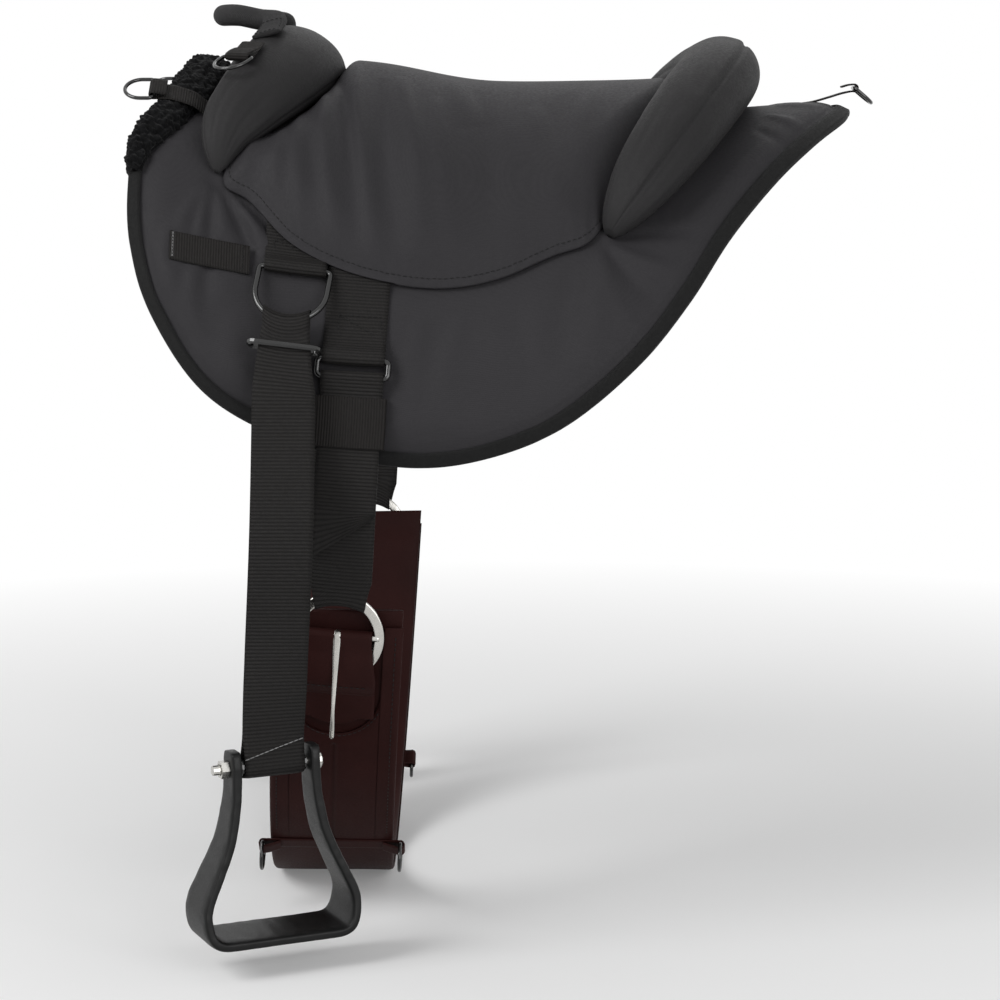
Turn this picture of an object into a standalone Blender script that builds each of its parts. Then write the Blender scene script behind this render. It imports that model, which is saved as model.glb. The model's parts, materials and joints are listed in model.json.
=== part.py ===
"""Bareback pad with a grab handle, rings, girth and stirrups, shaped to the barrel that it is worn on.

Metres, +Z up, +X towards the tail, -Y the near side. The origin is under the pad, on the spine,
halfway along the pad. A place on the barrel is given as x, drop and lift: drop is the length round
the barrel from the spine, negative on the near side, and lift the height off the barrel.
Pieces that exist on both sides are modelled on the near side and mirrored for the far side.
"""
import math
from functools import lru_cache

import bmesh
import bpy
import numpy as np
from mathutils import Matrix, Vector

MM = 0.001

# Barrel: two half ellipses, wider towards the tail, rising to the withers and to the croup
BARREL_HALF_WIDTH = 265 * MM
BARREL_FLARE = 30 * MM
BARREL_UP = 330 * MM
BARREL_DOWN = 310 * MM
WITHERS_RISE = 57 * MM
CROUP_RISE = 15 * MM
DROP_LIFT = 16 * MM

# Pad
PAD_HALF_LENGTH = 303 * MM
PAD_DROP = 413 * MM
LINING = 9 * MM
FOAM = 5.7 * MM
COVER = 1.5 * MM
GAP = 0.3 * MM
RIM_TAPER = 34 * MM
RIM_FOAM_SETBACK = 12 * MM
RIM_RISE = 1.6 * MM
RIM_LINING = 3 * MM
FOAM_EDGE = 1.2 * MM
OUTLINE_SHARES = (
    (-0.81, 0.0), (-0.835, 0.13), (-0.90, 0.27), (-0.985, 0.40), (-1.0, 0.50), (-0.985, 0.63), (-0.925, 0.76),
    (-0.78, 0.895), (-0.55, 0.965), (-0.28, 1.0), (-0.06, 0.99), (0.16, 0.935), (0.36, 0.82), (0.50, 0.69),
    (0.61, 0.55), (0.74, 0.40), (0.87, 0.25), (0.965, 0.12), (1.0, 0.0))
RIM_COUNT = 21
INNER_RINGS = 5
BINDING_START_SHARE = 0.39
BINDING = 1.2 * MM
BINDING_WIDTH = 9 * MM
BINDING_CLEARANCE = 1.1 * MM
CLEARANCE = 0.4 * MM
CENTRE_SHARE = -0.1

# Webbing
WEBBING = 1.5 * MM
WEBBING_WIDTH = 50 * MM
TAPE_WIDTH = 25 * MM
COVER_TOP = LINING + FOAM + COVER + 2 * GAP
DRAPE_GAP = 0.8 * MM
STRAP_LIFT = COVER_TOP + DRAPE_GAP
HANGER_INSET = 138.5 * MM
HANGER_X = HANGER_INSET - PAD_HALF_LENGTH
BILLET_INSET = 198 * MM
BILLET_X = BILLET_INSET - PAD_HALF_LENGTH
BILLET_LEAN = 42 * MM
STRAP_COLUMNS = (-1, -0.5, 0, 0.5, 1)
BILLET_SEWN_END = ((5 * MM, 0.9), (13 * MM, 0.33), (22 * MM, 0.08))
BILLET_APPROACH = ((15 * MM, 0.0), (5 * MM, 0.14))
BILLET_SEWN_START = 32 * MM
HANGER_SEWN_END = ((4 * MM, 0.85), (10 * MM, 0.3), (15 * MM, 0.07))
HANGER_SEWN_START = 24 * MM
WIRE_CLEARANCE = 0.7 * MM
FLAP_BAR_DROP = 262 * MM
FLAP_RING_LENGTH = 50 * MM
BUNCHED_WIDTH = 38 * MM

# Seat panel
SEAT_CLEARANCE = 2.9 * MM
SEAT_BASE = STRAP_LIFT + WEBBING + SEAT_CLEARANCE
SEAT_HEIGHT = 24 * MM
SEAT_SIDE_HEIGHT = 9 * MM
SEAT_EDGE = 1.2 * MM
SEAT_SKIN = 1.5 * MM
SEAT_ROLL_GAP = 3 * MM
SEAM_BELOW_BAR = 8 * MM
SEAT_SEAM_DROP = FLAP_BAR_DROP + SEAM_BELOW_BAR
SEAM_SHARES = ((0.09, 0.755), (0.2, 0.885), (0.36, 0.965), (0.56, 1.0), (0.72, 0.975), (0.86, 0.905))
SEAT_RIM_COUNT = 18
SEAT_LOOP_SHARES = (0.0, 0.03, 0.11, 0.28, 0.5, 0.75)
SEAT_ROUND_SHARE = 0.28

# Rolls
FRONT_ROLL_INSET = 131 * MM
FRONT_ROLL_X = FRONT_ROLL_INSET - PAD_HALF_LENGTH
FRONT_ROLL_DROP = 155 * MM
FRONT_ROLL_SWEEP = 64 * MM
FRONT_ROLL_BEND = 0.67
FRONT_ROLL_WIDTH = 74 * MM
FRONT_ROLL_HEIGHT = 54.5 * MM
REAR_ROLL_INSET = 114 * MM
REAR_ROLL_X = PAD_HALF_LENGTH - REAR_ROLL_INSET
REAR_ROLL_DROP = 230 * MM
REAR_ROLL_SWEEP = 108 * MM
REAR_ROLL_BEND = 0.58
REAR_ROLL_WIDTH = 72 * MM
REAR_ROLL_HEIGHT = 60 * MM
ROLL_SKIN = 1.5 * MM
ROLL_FILL_GAP = 0.8 * MM
ROLL_SAG = 1.1 * MM
ROLL_FOOT_ANGLE = math.radians(50)
ROLL_END_SHARE = 0.985
ROLL_EASE_SHARE = 0.15

# Fleece collar
COLLAR_DEPTH = 22 * MM
COLLAR_REACH = 26 * MM
COLLAR_HEIGHT = 15 * MM
COLLAR_END_SHARE = 0.42
COLLAR_ROLL_GAP = 2 * MM
COLLAR_TOP_SHARES = ((1.0, 0.35), (0.8, 0.8), (0.25, 1.0))
COLLAR_FRONT_SHARES = ((0.45, 0.75), (0.9, 0.0))
COLLAR_NOSE_SHARE = 0.4
COLLAR_FOOT_SHARE = 0.55

# Grab handle
HANDLE_RADIUS = 9 * MM
HANDLE_PATCH_WIDTH = 26 * MM
HANDLE_PATCH = 4 * MM
HANDLE_PATCH_NEAR = 42 * MM
HANDLE_PATCH_FAR = 66 * MM
HANDLE_PATCH_ANGLE = math.radians(108)
HANDLE_FORWARD = 66 * MM
HANDLE_RISE = 96 * MM
HANDLE_GROWING_COUNT = 5
HANDLE_COUNT = 23

# Flap D-ring and the stirrup strap that hangs from it
FLAP_RING_HALF_WIDTH = 29 * MM
FLAP_RING_WIRE = 2.4 * MM
FLAP_RING_CORNER = 3.5 * MM
FLAP_RING_TILT = math.radians(9)
FOLD_CLEARANCE = 1.4 * MM
STRAP_STAND_OFF = 39.4 * MM
STRAP_OFF_BARREL = 44 * MM
STIRRUP_STRAP_HANG = BARREL_HALF_WIDTH + STRAP_OFF_BARREL
STIRRUP_STRAP_FORWARD = 16 * MM
STIRRUP_STRAP_GAP = 1.2 * MM
STRAP_CLOSING = 13 * MM
SEAM_BELOW_RING = 30 * MM
STRAP_OVER_FLAP = 46.2 * MM
STRAP_SLEEVE_STATION = 12 * MM
STRAP_TOP_STATIONS = (0, 6 * MM, 13 * MM, 24 * MM, 38 * MM)
STRAP_SPREADING = 60 * MM
STRAP_FALL_SHARES = ((0.0, 0.62), (0.5, 0.81))
SLEEVE_CLOSING = 28 * MM
BOLT_Z = -487 * MM
STIRRUP_YAW = math.radians(25)
TWIST_LENGTH = 110 * MM
STIRRUP_SLIDE_BELOW = 24 * MM
SLIDE_WIRE = 2.4 * MM

# Stirrup
STIRRUP_HALF_WIDTH = 62.5 * MM
STIRRUP_NECK_HALF_WIDTH = 33 * MM
STIRRUP_HEIGHT = 137 * MM
STIRRUP_WALL = 8.5 * MM
STIRRUP_NECK_DEPTH = 25 * MM
STIRRUP_TREAD_DEPTH = 57 * MM
STIRRUP_SHARES = (
    (0.0, -0.10), (0.0, 0.06), (0.06, 0.22), (0.26, 0.42), (0.66, 0.62), (0.95, 0.76), (1.0, 0.85),
    (0.90, 0.945),
    (0.64, 0.993), (0.1, 1.0))
STIRRUP_HALF_COUNT = 14
STIRRUP_CHAMFER = 2 * MM
BOLT_RADIUS = 4 * MM
BOLT_HOLE_CLEARANCE = 0.4 * MM
BOLT_HEAD_RADIUS = 7 * MM
BOLT_HEAD = 4 * MM
BOLT_HEAD_EDGE = BOLT_HEAD * 0.6
BOLT_HEAD_TOP_RADIUS = BOLT_HEAD_RADIUS * 0.7
NUT_RADIUS = 6.5 * MM
NUT = 6 * MM
BOLT_TAIL = 12 * MM
SLEEVE = 2.4 * MM
SLEEVE_LENGTH = 54 * MM
SLEEVE_EASE = 1.04

# Girth slide, girth strap, ring and tongue
SLIDE_BELOW_BOW = 22 * MM
GIRTH_SLIDE_DROP = FLAP_BAR_DROP + FLAP_RING_LENGTH + SLIDE_BELOW_BOW
GIRTH_SLIDE_PITCH = 14 * MM
GIRTH_SLIDE_HALF_WIDTH = 28.5 * MM
KEEPER_BELOW_SLIDE = 30 * MM
KEEPER_TOP = GIRTH_SLIDE_DROP + KEEPER_BELOW_SLIDE
KEEPER_LENGTH = 40 * MM
KEEPER_HALF_WIDTH = 28 * MM
KEEPER_DROPS = tuple(KEEPER_TOP + KEEPER_LENGTH * k / 3 for k in range(4))
KEEPER_REACH = 8 * MM
TAIL_LENGTH = 88 * MM
TAIL_DROP = KEEPER_TOP + KEEPER_LENGTH + TAIL_LENGTH
TAIL_CUT = 34 * MM
RING_BELOW_TAIL = 64 * MM
RING_DROP = TAIL_DROP + RING_BELOW_TAIL
RING_LIFT = 15.8 * MM
RING_RADIUS = 33.5 * MM
RING_BAND = 8 * MM
RING_THICKNESS = 3 * MM
RING_BAR_RADIUS = 2.5 * MM
RING_FOLD_CLEARANCE = 1.6 * MM
RING_FOLD_EASE = 0.5 * MM
RING_FOLD_PLACES = (-20 * MM, -9 * MM, -4 * MM, 3 * MM)
TONGUE_LENGTH = 84 * MM
TONGUE_WIDTH = 6 * MM
TONGUE_THICKNESS = 2.2 * MM
TONGUE_BEND = 1.5 * MM
TONGUE_BEND_SHARES = (0.3, 0.7)
FOLDED_END = 46 * MM

# Girth
GIRTH_HALF_WIDTH = 52.5 * MM
GIRTH_OVERLAP = 20 * MM
GIRTH_TOP = RING_DROP - GIRTH_OVERLAP
GIRTH_LINER_LIFT = 0.5 * MM
GIRTH_LINER = 9 * MM
GIRTH_COVER = 2.5 * MM
COVER_TOP_SETBACK = 12 * MM
CHAPE_LENGTH = 90 * MM
POCKET_DROP = RING_DROP + CHAPE_LENGTH
POCKET_HALF_WIDTH = 35.5 * MM
POCKET_TURNS = tuple(math.radians(a) for a in (20, 40, 60, 78))
CHAPE = 2 * MM
CHAPE_HALF_WIDTH = 32 * MM
CHAPE_FOLD_HALF_WIDTH = 27.5 * MM
CHAPE_SLOT = 5 * MM
GIRTH_COUNT = 12
POCKET_DEEPER = 4 * MM
CHAPE_POCKET_GAP = 9 * MM
CHAPE_SPREADING = 30 * MM
CHAPE_FOLD_LENGTH = 6 * MM
CHAPE_SINK = 0.5 * MM
CHAPE_SLOT_CORNERS = ((-9 * MM, -6 * MM), (22 * MM, -6 * MM), (22 * MM, 8 * MM), (-9 * MM, 8 * MM))
GIRTH_RING_DROP = 792 * MM
GIRTH_TAB_PLACES = (15 * MM, 6 * MM, 12 * MM)

# Small D-rings
SMALL_WIRE = 1.6 * MM
SMALL_RING_HALF_WIDTH = 14 * MM
SMALL_RING_LENGTH = 24 * MM
TINY_RING_HALF_WIDTH = 11 * MM
TINY_RING_LENGTH = 20 * MM
SMALL_CORNER = 4 * MM
TAB_FOLD_SHARE = 0.6
TAB_BACK = ((5 * MM, 0.5 * MM), (11 * MM, 2.2 * MM))
TAB_TO_BAR = 3 * MM
ROLL_TAB_STATIONS = tuple(TAPE_WIDTH * share for share in (1.0, 0.7, 0.35, 0.0))
ROLL_TAB_TURN = 0.2
ROLL_TAB_DROP = 104 * MM
ROLL_TAB_ANGLE = math.radians(118)
ROLL_RING_TILT = math.radians(8)
FRONT_TAB_DROP = 108 * MM
FRONT_TAB_INSET = 63 * MM
FRONT_TAB_X = FRONT_TAB_INSET - PAD_HALF_LENGTH
FRONT_TAB_LENGTH = 46 * MM
FRONT_TAB_RISE = 6.5 * MM
FRONT_TAB_SHARES = ((0.0, -0.24), (0.12, 0.1), (0.3, 0.8), (0.48, 1.0), (0.75, 0.95), (1.0, 0.4))
REAR_TAB_LENGTH = 42 * MM
REAR_TAB_RISE = 4 * MM
REAR_RING_HANG = math.radians(40)
FLAP_KEEPER_INSET = 68.5 * MM
FLAP_KEEPER_X = FLAP_KEEPER_INSET - PAD_HALF_LENGTH
FLAP_KEEPER_LENGTH = 65 * MM
FLAP_KEEPER_ABOVE = 4 * MM
FLAP_KEEPER_DROP = FLAP_BAR_DROP - FLAP_KEEPER_ABOVE

for old in list(bpy.data.objects):
    bpy.data.objects.remove(old, do_unlink=True)


def material(name, colour, roughness, metallic=0.0):
    """A Principled material with a base colour given as sRGB shares."""
    mat = bpy.data.materials.new(name)
    mat.use_nodes = True
    shader = mat.node_tree.nodes["Principled BSDF"]
    shader.inputs["Base Color"].default_value = [c ** 2.2 for c in colour] + [1.0]
    shader.inputs["Roughness"].default_value = roughness
    shader.inputs["Metallic"].default_value = metallic
    return mat


CLOTH = material("charcoal_polyester", (0.22, 0.215, 0.22), 0.85)
TAPE = material("black_webbing", (0.10, 0.10, 0.10), 0.8)
FLEECE = material("black_fleece", (0.07, 0.07, 0.08), 0.95)
FILLING = material("grey_foam", (0.45, 0.45, 0.47), 0.9)
BLACK_METAL = material("black_metal", (0.06, 0.06, 0.06), 0.3, 0.8)
NICKEL = material("nickel", (0.75, 0.74, 0.71), 0.3, 1.0)
GIRTH_BROWN = material("brown_neoprene", (0.18, 0.10, 0.10), 0.7)
PLASTIC = material("black_plastic", (0.08, 0.08, 0.08), 0.4)


# Barrel form

def half_width(x):
    return BARREL_HALF_WIDTH + BARREL_FLARE * x / PAD_HALF_LENGTH


def rise(x):
    """Height of the spine above its lowest point."""
    return (WITHERS_RISE if x < 0 else CROUP_RISE) * (x / PAD_HALF_LENGTH) ** 2


def section_point(x, angle, lift):
    """Y and Z on the barrel at an angle from straight up, positive on the far side."""
    height = np.where(np.cos(angle) > 0, BARREL_UP + rise(x), BARREL_DOWN)
    return (half_width(x) + lift) * np.sin(angle), (height + lift) * np.cos(angle) - BARREL_UP


@lru_cache(maxsize=None)
def drop_table(x):
    """Angles round the barrel at x and the length from the spine to each."""
    angle = np.linspace(0, math.pi, 241)
    y, z = section_point(x, angle, DROP_LIFT)
    return angle, np.concatenate(([0], np.cumsum(np.hypot(np.diff(y), np.diff(z)))))


def on_barrel(x, drop, lift):
    angle, length = drop_table(round(x, 4))
    turn = math.copysign(float(np.interp(abs(drop), length, angle)), drop)
    y, z = section_point(x, turn, lift)
    return Vector((x, float(y), float(z)))


def barrel_frame(x, drop, lift):
    """Frame of a flat piece on the near side: origin, along the barrel, down it, and out from it."""
    along = (on_barrel(x + MM, drop, lift) - on_barrel(x - MM, drop, lift)).normalized()
    down = on_barrel(x, drop - MM, lift) - on_barrel(x, drop + MM, lift)
    return square_frame(on_barrel(x, drop, lift), along, down)


def square_frame(origin, along, down):
    """Frame with its second direction made square to the first, and the third out of the barrel."""
    down = (down - along * down.dot(along)).normalized()
    return origin, along, down, down.cross(along)


def angle_at(drop):
    """Angle round the barrel at a drop, on the girth's line."""
    angle, length = drop_table(round(BILLET_X, 4))
    return float(np.interp(abs(drop), length, angle))


def girth_x(drop):
    """The centre line of billet, girth strap and girth, which leans forward towards the belly."""
    return BILLET_X - BILLET_LEAN * (1 - math.cos(angle_at(drop))) / 2


# Curves

def smooth_curve(points, count, closed=False):
    """Points at even spacing on a Catmull-Rom curve through the given ones."""
    pts = [np.array(p, float) for p in points]
    ends = [pts[-1], pts[0], pts[1]] if closed else [2 * pts[-1] - pts[-2]]
    ring = ([pts[-1]] if closed else [2 * pts[0] - pts[1]]) + pts + (ends[1:] if closed else ends)
    fine = []
    for a, b, c, d in zip(ring, ring[1:], ring[2:], ring[3:]):
        for t in np.linspace(0, 1, 16, endpoint=False):
            fine.append(0.5 * (2 * b + (c - a) * t + (2 * a - 5 * b + 4 * c - d) * t ** 2
                               + (3 * b - a - 3 * c + d) * t ** 3))
    fine.append(pts[0] if closed else pts[-1])
    fine = np.array(fine)
    length = np.concatenate(([0], np.cumsum(np.linalg.norm(np.diff(fine, axis=0), axis=1))))
    wanted = np.linspace(0, length[-1], count + 1 if closed else count)
    if closed:
        wanted = wanted[:-1]
    return [tuple(np.interp(w, length, fine[:, k]) for k in range(fine.shape[1])) for w in wanted]


def arc(centre, radius, start, end, steps):
    """Points of an arc in a plane, from one angle in degrees to another."""
    turns = [math.radians(start + (end - start) * k / steps) for k in range(steps + 1)]
    return [(centre[0] + radius * math.cos(t), centre[1] + radius * math.sin(t)) for t in turns]


def normals_2d(path, closed=False):
    """The unit direction to the right of a plane path, at each of its points."""
    found = []
    for i, _ in enumerate(path):
        before = path[i - 1] if i or closed else path[0]
        after = path[(i + 1) % len(path)] if i < len(path) - 1 or closed else path[-1]
        step = Vector((after[0] - before[0], after[1] - before[1])).normalized()
        found.append(Vector((step[1], -step[0])))
    return found


# Solids

def solid(name, rings, mat, closed=False, parent=None, smooth=True, sharp=50):
    """A closed body through loops of points, capped at both ends or joined end to end."""
    mesh = bpy.data.meshes.new(name)
    work = bmesh.new()
    loops = [[work.verts.new(p) for p in ring] for ring in rings]
    pairs = list(zip(loops, loops[1:])) + ([(loops[-1], loops[0])] if closed else [])
    for first, second in pairs:
        for i, _ in enumerate(first):
            j = (i + 1) % len(first)
            work.faces.new((first[i], first[j], second[j], second[i]))
    if not closed:
        work.faces.new(loops[0])
        work.faces.new(list(reversed(loops[-1])))
    return finish(name, work, mesh, mat, parent, smooth, sharp)


def finish(name, work, mesh, mat, parent, smooth=True, sharp=50):
    """Turns the faces outwards, shades them and makes the object."""
    bmesh.ops.recalc_face_normals(work, faces=work.faces)
    if work.calc_volume(signed=True) < 0:
        bmesh.ops.reverse_faces(work, faces=work.faces)
    work.to_mesh(mesh)
    work.free()
    mesh.materials.append(mat)
    if smooth:
        mesh.shade_smooth()
        mesh.set_sharp_from_angle(angle=math.radians(sharp))
    obj = bpy.data.objects.new(name, mesh)
    bpy.context.scene.collection.objects.link(obj)
    if parent:
        obj.parent = parent
        obj.matrix_parent_inverse = parent.matrix_world.inverted()
    return obj


def sided(side, rings):
    """Near side loops as they are, or mirrored for the far side."""
    if side == "left":
        return rings
    return [[Vector((p[0], -p[1], p[2])) for p in ring] for ring in rings]


def pivot(name, side, place, parent=None):
    """An empty on a joint's axis."""
    empty = bpy.data.objects.new(name, None)
    bpy.context.scene.collection.objects.link(empty)
    empty.location = sided(side, [[Vector(place)]])[0][0]
    bpy.context.view_layer.update()
    if parent:
        empty.parent = parent
        empty.matrix_parent_inverse = parent.matrix_world.inverted()
        bpy.context.view_layer.update()
    return empty


def drape(path, sections, closed=False):
    """Loops of (across, lift) points laid over the barrel along a path of (x, drop) points."""
    rings = []
    for (x, drop), right, section in zip(path, normals_2d(path, closed), sections):
        rings.append([on_barrel(x + right[0] * a, drop + right[1] * a, lift) for a, lift in section])
    return rings


def ribbon(line, x_at, half_width_at=None, thickness=WEBBING, columns=(-1, 1), shift=None):
    """Loops of a strap along a (drop, lift) centre line on the near side, its width along X."""
    rings = []
    for i, ((drop, lift), right) in enumerate(zip(line, normals_2d(line))):
        half = half_width_at(i, drop) if half_width_at else WEBBING_WIDTH / 2
        outer, inner = [], []
        for c in columns:
            move = shift(i, c * half) if shift else 0
            for face, sign in ((outer, 1), (inner, -1)):
                d = drop + move + sign * right[0] * thickness / 2
                face.append(on_barrel(x_at(drop) + c * half, -d, lift + sign * right[1] * thickness / 2))
        rings.append(outer + inner[::-1])
    return rings


def flat_loop(frame, outline, wire, sides=6, section=None):
    """Loops of a wire bent to a closed outline of (along, down) points in a flat frame."""
    origin, along, down, out = frame
    shape = section or [(wire * math.cos(2 * math.pi * (k + 0.5) / sides),
                         wire * math.sin(2 * math.pi * (k + 0.5) / sides)) for k in range(sides)]
    rings = []
    for (u, v), right in zip(outline, normals_2d(outline, True)):
        rings.append([origin + along * (u + right[0] * a) + down * (v + right[1] * a) + out * b
                      for a, b in shape])
    return rings


def ring_outline(half, length, corner, bow_steps):
    """Outline of a D-ring: a straight bar on top, corners, and a half round bow."""
    bow = length - half
    points = arc((half - corner, corner), corner, -90, 0, 2)
    points += arc((0, bow), half, 0, 180, bow_steps)
    points += arc((corner - half, corner), corner, 180, 270, 2)
    return points


def tilted(frame, turn):
    """The frame turned outwards about the direction along its bar."""
    origin, along, down, out = frame
    lower = down * math.cos(turn) + out * math.sin(turn)
    return origin, along, lower, out * math.cos(turn) - down * math.sin(turn)


def cutter(name, rings, mat=FILLING):
    """A closed body that only cuts others."""
    obj = solid(name, rings, mat, smooth=False)
    obj.hide_render = True
    obj.display_type = "WIRE"
    return obj


def cut(obj, tool):
    """Takes the tool's body out of the object."""
    change = obj.modifiers.new("cut", "BOOLEAN")
    change.operation = "DIFFERENCE"
    change.solver = "EXACT"
    change.object = tool


# Pad layers

def pad_rim():
    """The rim of the pad, from the front at the spine round the far side, the tail and the near side."""
    half = smooth_curve([(a * PAD_HALF_LENGTH, b * PAD_DROP) for a, b in OUTLINE_SHARES], RIM_COUNT)
    return half, half + [(x, -drop) for x, drop in half[-2:0:-1]]


RIM_HALF, RIM = pad_rim()


def lining_under(inset):
    return RIM_RISE * max(0.0, 1 - inset / RIM_TAPER)


def lining_top(inset):
    edge = RIM_RISE + RIM_LINING
    return edge + (LINING - edge) * min(1.0, inset / RIM_TAPER)


def foam_top(inset):
    edge = lining_top(RIM_FOAM_SETBACK) + GAP + FOAM_EDGE
    share = (inset - RIM_FOAM_SETBACK) / (RIM_TAPER - RIM_FOAM_SETBACK)
    return edge + (LINING + GAP + FOAM - edge) * min(1.0, max(0.0, share))


def cover_under(inset):
    rim = lining_top(0) + GAP
    if inset < RIM_FOAM_SETBACK:
        return rim + (foam_top(0) + GAP - rim) * inset / RIM_FOAM_SETBACK
    return foam_top(inset) + GAP


def cover_top(inset):
    return cover_under(inset) + COVER


def panel(name, loops, lifts, centre, mat):
    """A layer over the barrel through loops from its rim inwards; lifts gives underside and top of each."""
    work = bmesh.new()
    surfaces = []
    for level in (0, 1):
        rows = [[work.verts.new(on_barrel(x, drop, lifts(k, x, drop)[level])) for x, drop in loop]
                for k, loop in enumerate(loops)]
        middle = work.verts.new(on_barrel(centre[0], centre[1], lifts(len(loops), *centre)[level]))
        for first, second in zip(rows, rows[1:]):
            for i, _ in enumerate(first):
                j = (i + 1) % len(first)
                work.faces.new((first[i], first[j], second[j]))
                work.faces.new((first[i], second[j], second[i]))
        for i, _ in enumerate(rows[-1]):
            work.faces.new((rows[-1][i], rows[-1][(i + 1) % len(rows[-1])], middle))
        surfaces.append(rows[0])
    under, top = surfaces
    for i, _ in enumerate(under):
        j = (i + 1) % len(under)
        work.faces.new((under[i], under[j], top[j], top[i]))
    return finish(name, work, bpy.data.meshes.new(name), mat, None)


def make_pad():
    centre = (CENTRE_SHARE * PAD_HALF_LENGTH, 0)
    insets = [0, RIM_FOAM_SETBACK, RIM_TAPER]
    rights = normals_2d(RIM, True)
    loops = [[(x + r[0] * w, drop + r[1] * w) for (x, drop), r in zip(RIM, rights)] for w in insets]
    for k in range(1, INNER_RINGS):
        share = k / INNER_RINGS
        loops.append([(x + (centre[0] - x) * share, drop * (1 - share)) for x, drop in loops[2]])
    insets += [RIM_TAPER] * INNER_RINGS

    def lining(k, x, drop):
        return lining_under(insets[k]), lining_top(insets[k])

    def foam(k, x, drop):
        return lining_top(insets[k + 1]) + GAP, foam_top(insets[k + 1])

    def cover(k, x, drop):
        return cover_under(insets[k]), cover_top(insets[k])

    panel("fleece_lining", loops, lining, centre, FLEECE)
    panel("foam_core", loops[1:], foam, centre, FILLING)
    panel("pad_cover", loops, cover, centre, CLOTH)


def rim_split(drop):
    """Index of the first rim point past a drop, and the point of the rim at that drop."""
    last = next(i for i, p in enumerate(RIM_HALF) if p[1] >= drop)
    a, b = RIM_HALF[last - 1], RIM_HALF[last]
    share = (drop - a[1]) / (b[1] - a[1])
    return last, (a[0] + (b[0] - a[0]) * share, drop)


def mirrored(path):
    """A half path from the spine, repeated on the near side: near end, spine, far end."""
    return [(x, -drop) for x, drop in path[:0:-1]] + path


def make_binding():
    start = BINDING_START_SHARE * PAD_DROP
    first, point = rim_split(start)
    half = [point] + RIM_HALF[first:]
    path = half + [(x, -drop) for x, drop in half[-2::-1]]
    wall = BINDING_CLEARANCE + BINDING
    top = cover_top(BINDING_WIDTH) + BINDING_CLEARANCE
    under = lining_under(BINDING_WIDTH) - BINDING_CLEARANCE
    rim_top, rim_under = cover_top(0) + BINDING_CLEARANCE, RIM_RISE - BINDING_CLEARANCE
    section = [(-BINDING_CLEARANCE, rim_top), (BINDING_WIDTH, top), (BINDING_WIDTH, top + BINDING),
               (0, rim_top + BINDING), (-wall, rim_top), (-wall, rim_under), (0, rim_under - BINDING),
               (BINDING_WIDTH, under - BINDING), (BINDING_WIDTH, under), (-BINDING_CLEARANCE, rim_under)]
    solid("edge_binding", drape(path, [section] * len(path)), TAPE)


# Rolls

class Roll:
    """A bolster across the back: its centre line, its thickness along it, and its round section."""

    def __init__(self, x, sweep, bend_share, drop, width, height, power, base):
        self.x, self.sweep, self.bend, self.drop = x, sweep, bend_share, drop
        self.width, self.height, self.power, self.base = width, height, power, base

    def centre(self, drop):
        share = abs(drop) / self.drop
        eased = math.hypot(share, ROLL_EASE_SHARE) - ROLL_EASE_SHARE
        return self.x - self.sweep * ((1 - self.bend) * eased + self.bend * share ** 2)

    def fatness(self, drop):
        return math.sqrt(max(0.0, 1 - min(1.0, abs(drop) / self.drop) ** self.power))

    def path(self, shrink=0.0, steps=16):
        reach = (self.drop - shrink) * ROLL_END_SHARE
        drops = [reach * math.sin(math.pi / 2 * (2 * k / steps - 1)) for k in range(steps + 1)]
        return [(self.centre(d), d) for d in drops]

    def spot(self, drop, angle, shrink=0.0):
        """Across and lift of a point of the section, at an angle from the rear side upwards."""
        half = self.width / 2 * self.fatness(drop) - shrink
        tall = self.height * self.fatness(drop) / (1 + math.sin(ROLL_FOOT_ANGLE)) - shrink
        middle = self.base + (tall + shrink) * math.sin(ROLL_FOOT_ANGLE)
        return half * math.cos(angle), middle + tall * math.sin(angle)

    def section(self, drop, shrink=0.0, deeper=0.0, steps=8):
        turn = (math.pi + 2 * ROLL_FOOT_ANGLE) / steps
        points = [self.spot(drop, k * turn - ROLL_FOOT_ANGLE, shrink) for k in range(steps + 1)]
        if deeper:
            points = [(points[0][0], self.base - deeper)] + points + [(points[-1][0], self.base - deeper)]
        return points

    def surface(self, drop, angle, off=0.0):
        """The point off the roll's surface at an angle, and the direction out of it."""
        line = [(self.centre(d), d) for d in (drop - MM, drop, drop + MM)]
        right = normals_2d(line)[1]
        found = []
        for extra in (off, off + MM):
            across, lift = self.spot(drop, angle, -extra)
            found.append(on_barrel(line[1][0] + right[0] * across, drop + right[1] * across, lift))
        return found[0], (found[1] - found[0]).normalized()

    def edge(self, drop, side, gap):
        """The (x, drop) point beside the roll, clear of its widest."""
        line = [(self.centre(d), d) for d in (drop - MM, drop, drop + MM)]
        right = normals_2d(line)[1]
        reach = side * (self.width / 2 * self.fatness(drop) + gap)
        return line[1][0] + right[0] * reach, drop + right[1] * reach


FRONT_ROLL = Roll(FRONT_ROLL_X, FRONT_ROLL_SWEEP, FRONT_ROLL_BEND, FRONT_ROLL_DROP,
                  FRONT_ROLL_WIDTH, FRONT_ROLL_HEIGHT, 3, STRAP_LIFT + WEBBING + ROLL_SAG)
REAR_ROLL = Roll(REAR_ROLL_X, REAR_ROLL_SWEEP, REAR_ROLL_BEND, REAR_ROLL_DROP,
                 REAR_ROLL_WIDTH, REAR_ROLL_HEIGHT, 4, STRAP_LIFT + ROLL_SAG)


def make_roll(name, roll):
    path = roll.path()
    cover = solid(name + "_cover", drape(path, [roll.section(d) for _, d in path]), CLOTH)
    path = roll.path(ROLL_SKIN)
    hollow = [roll.section(d, ROLL_SKIN, ROLL_SKIN) for _, d in path]
    cut(cover, cutter(name + "_hollow", drape(path, hollow)))
    loose = ROLL_SKIN + ROLL_FILL_GAP
    path = roll.path(2 * loose)
    solid(name + "_core", drape(path, [roll.section(d, loose) for _, d in path]), FILLING)


# Seat panel between the rolls

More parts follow.
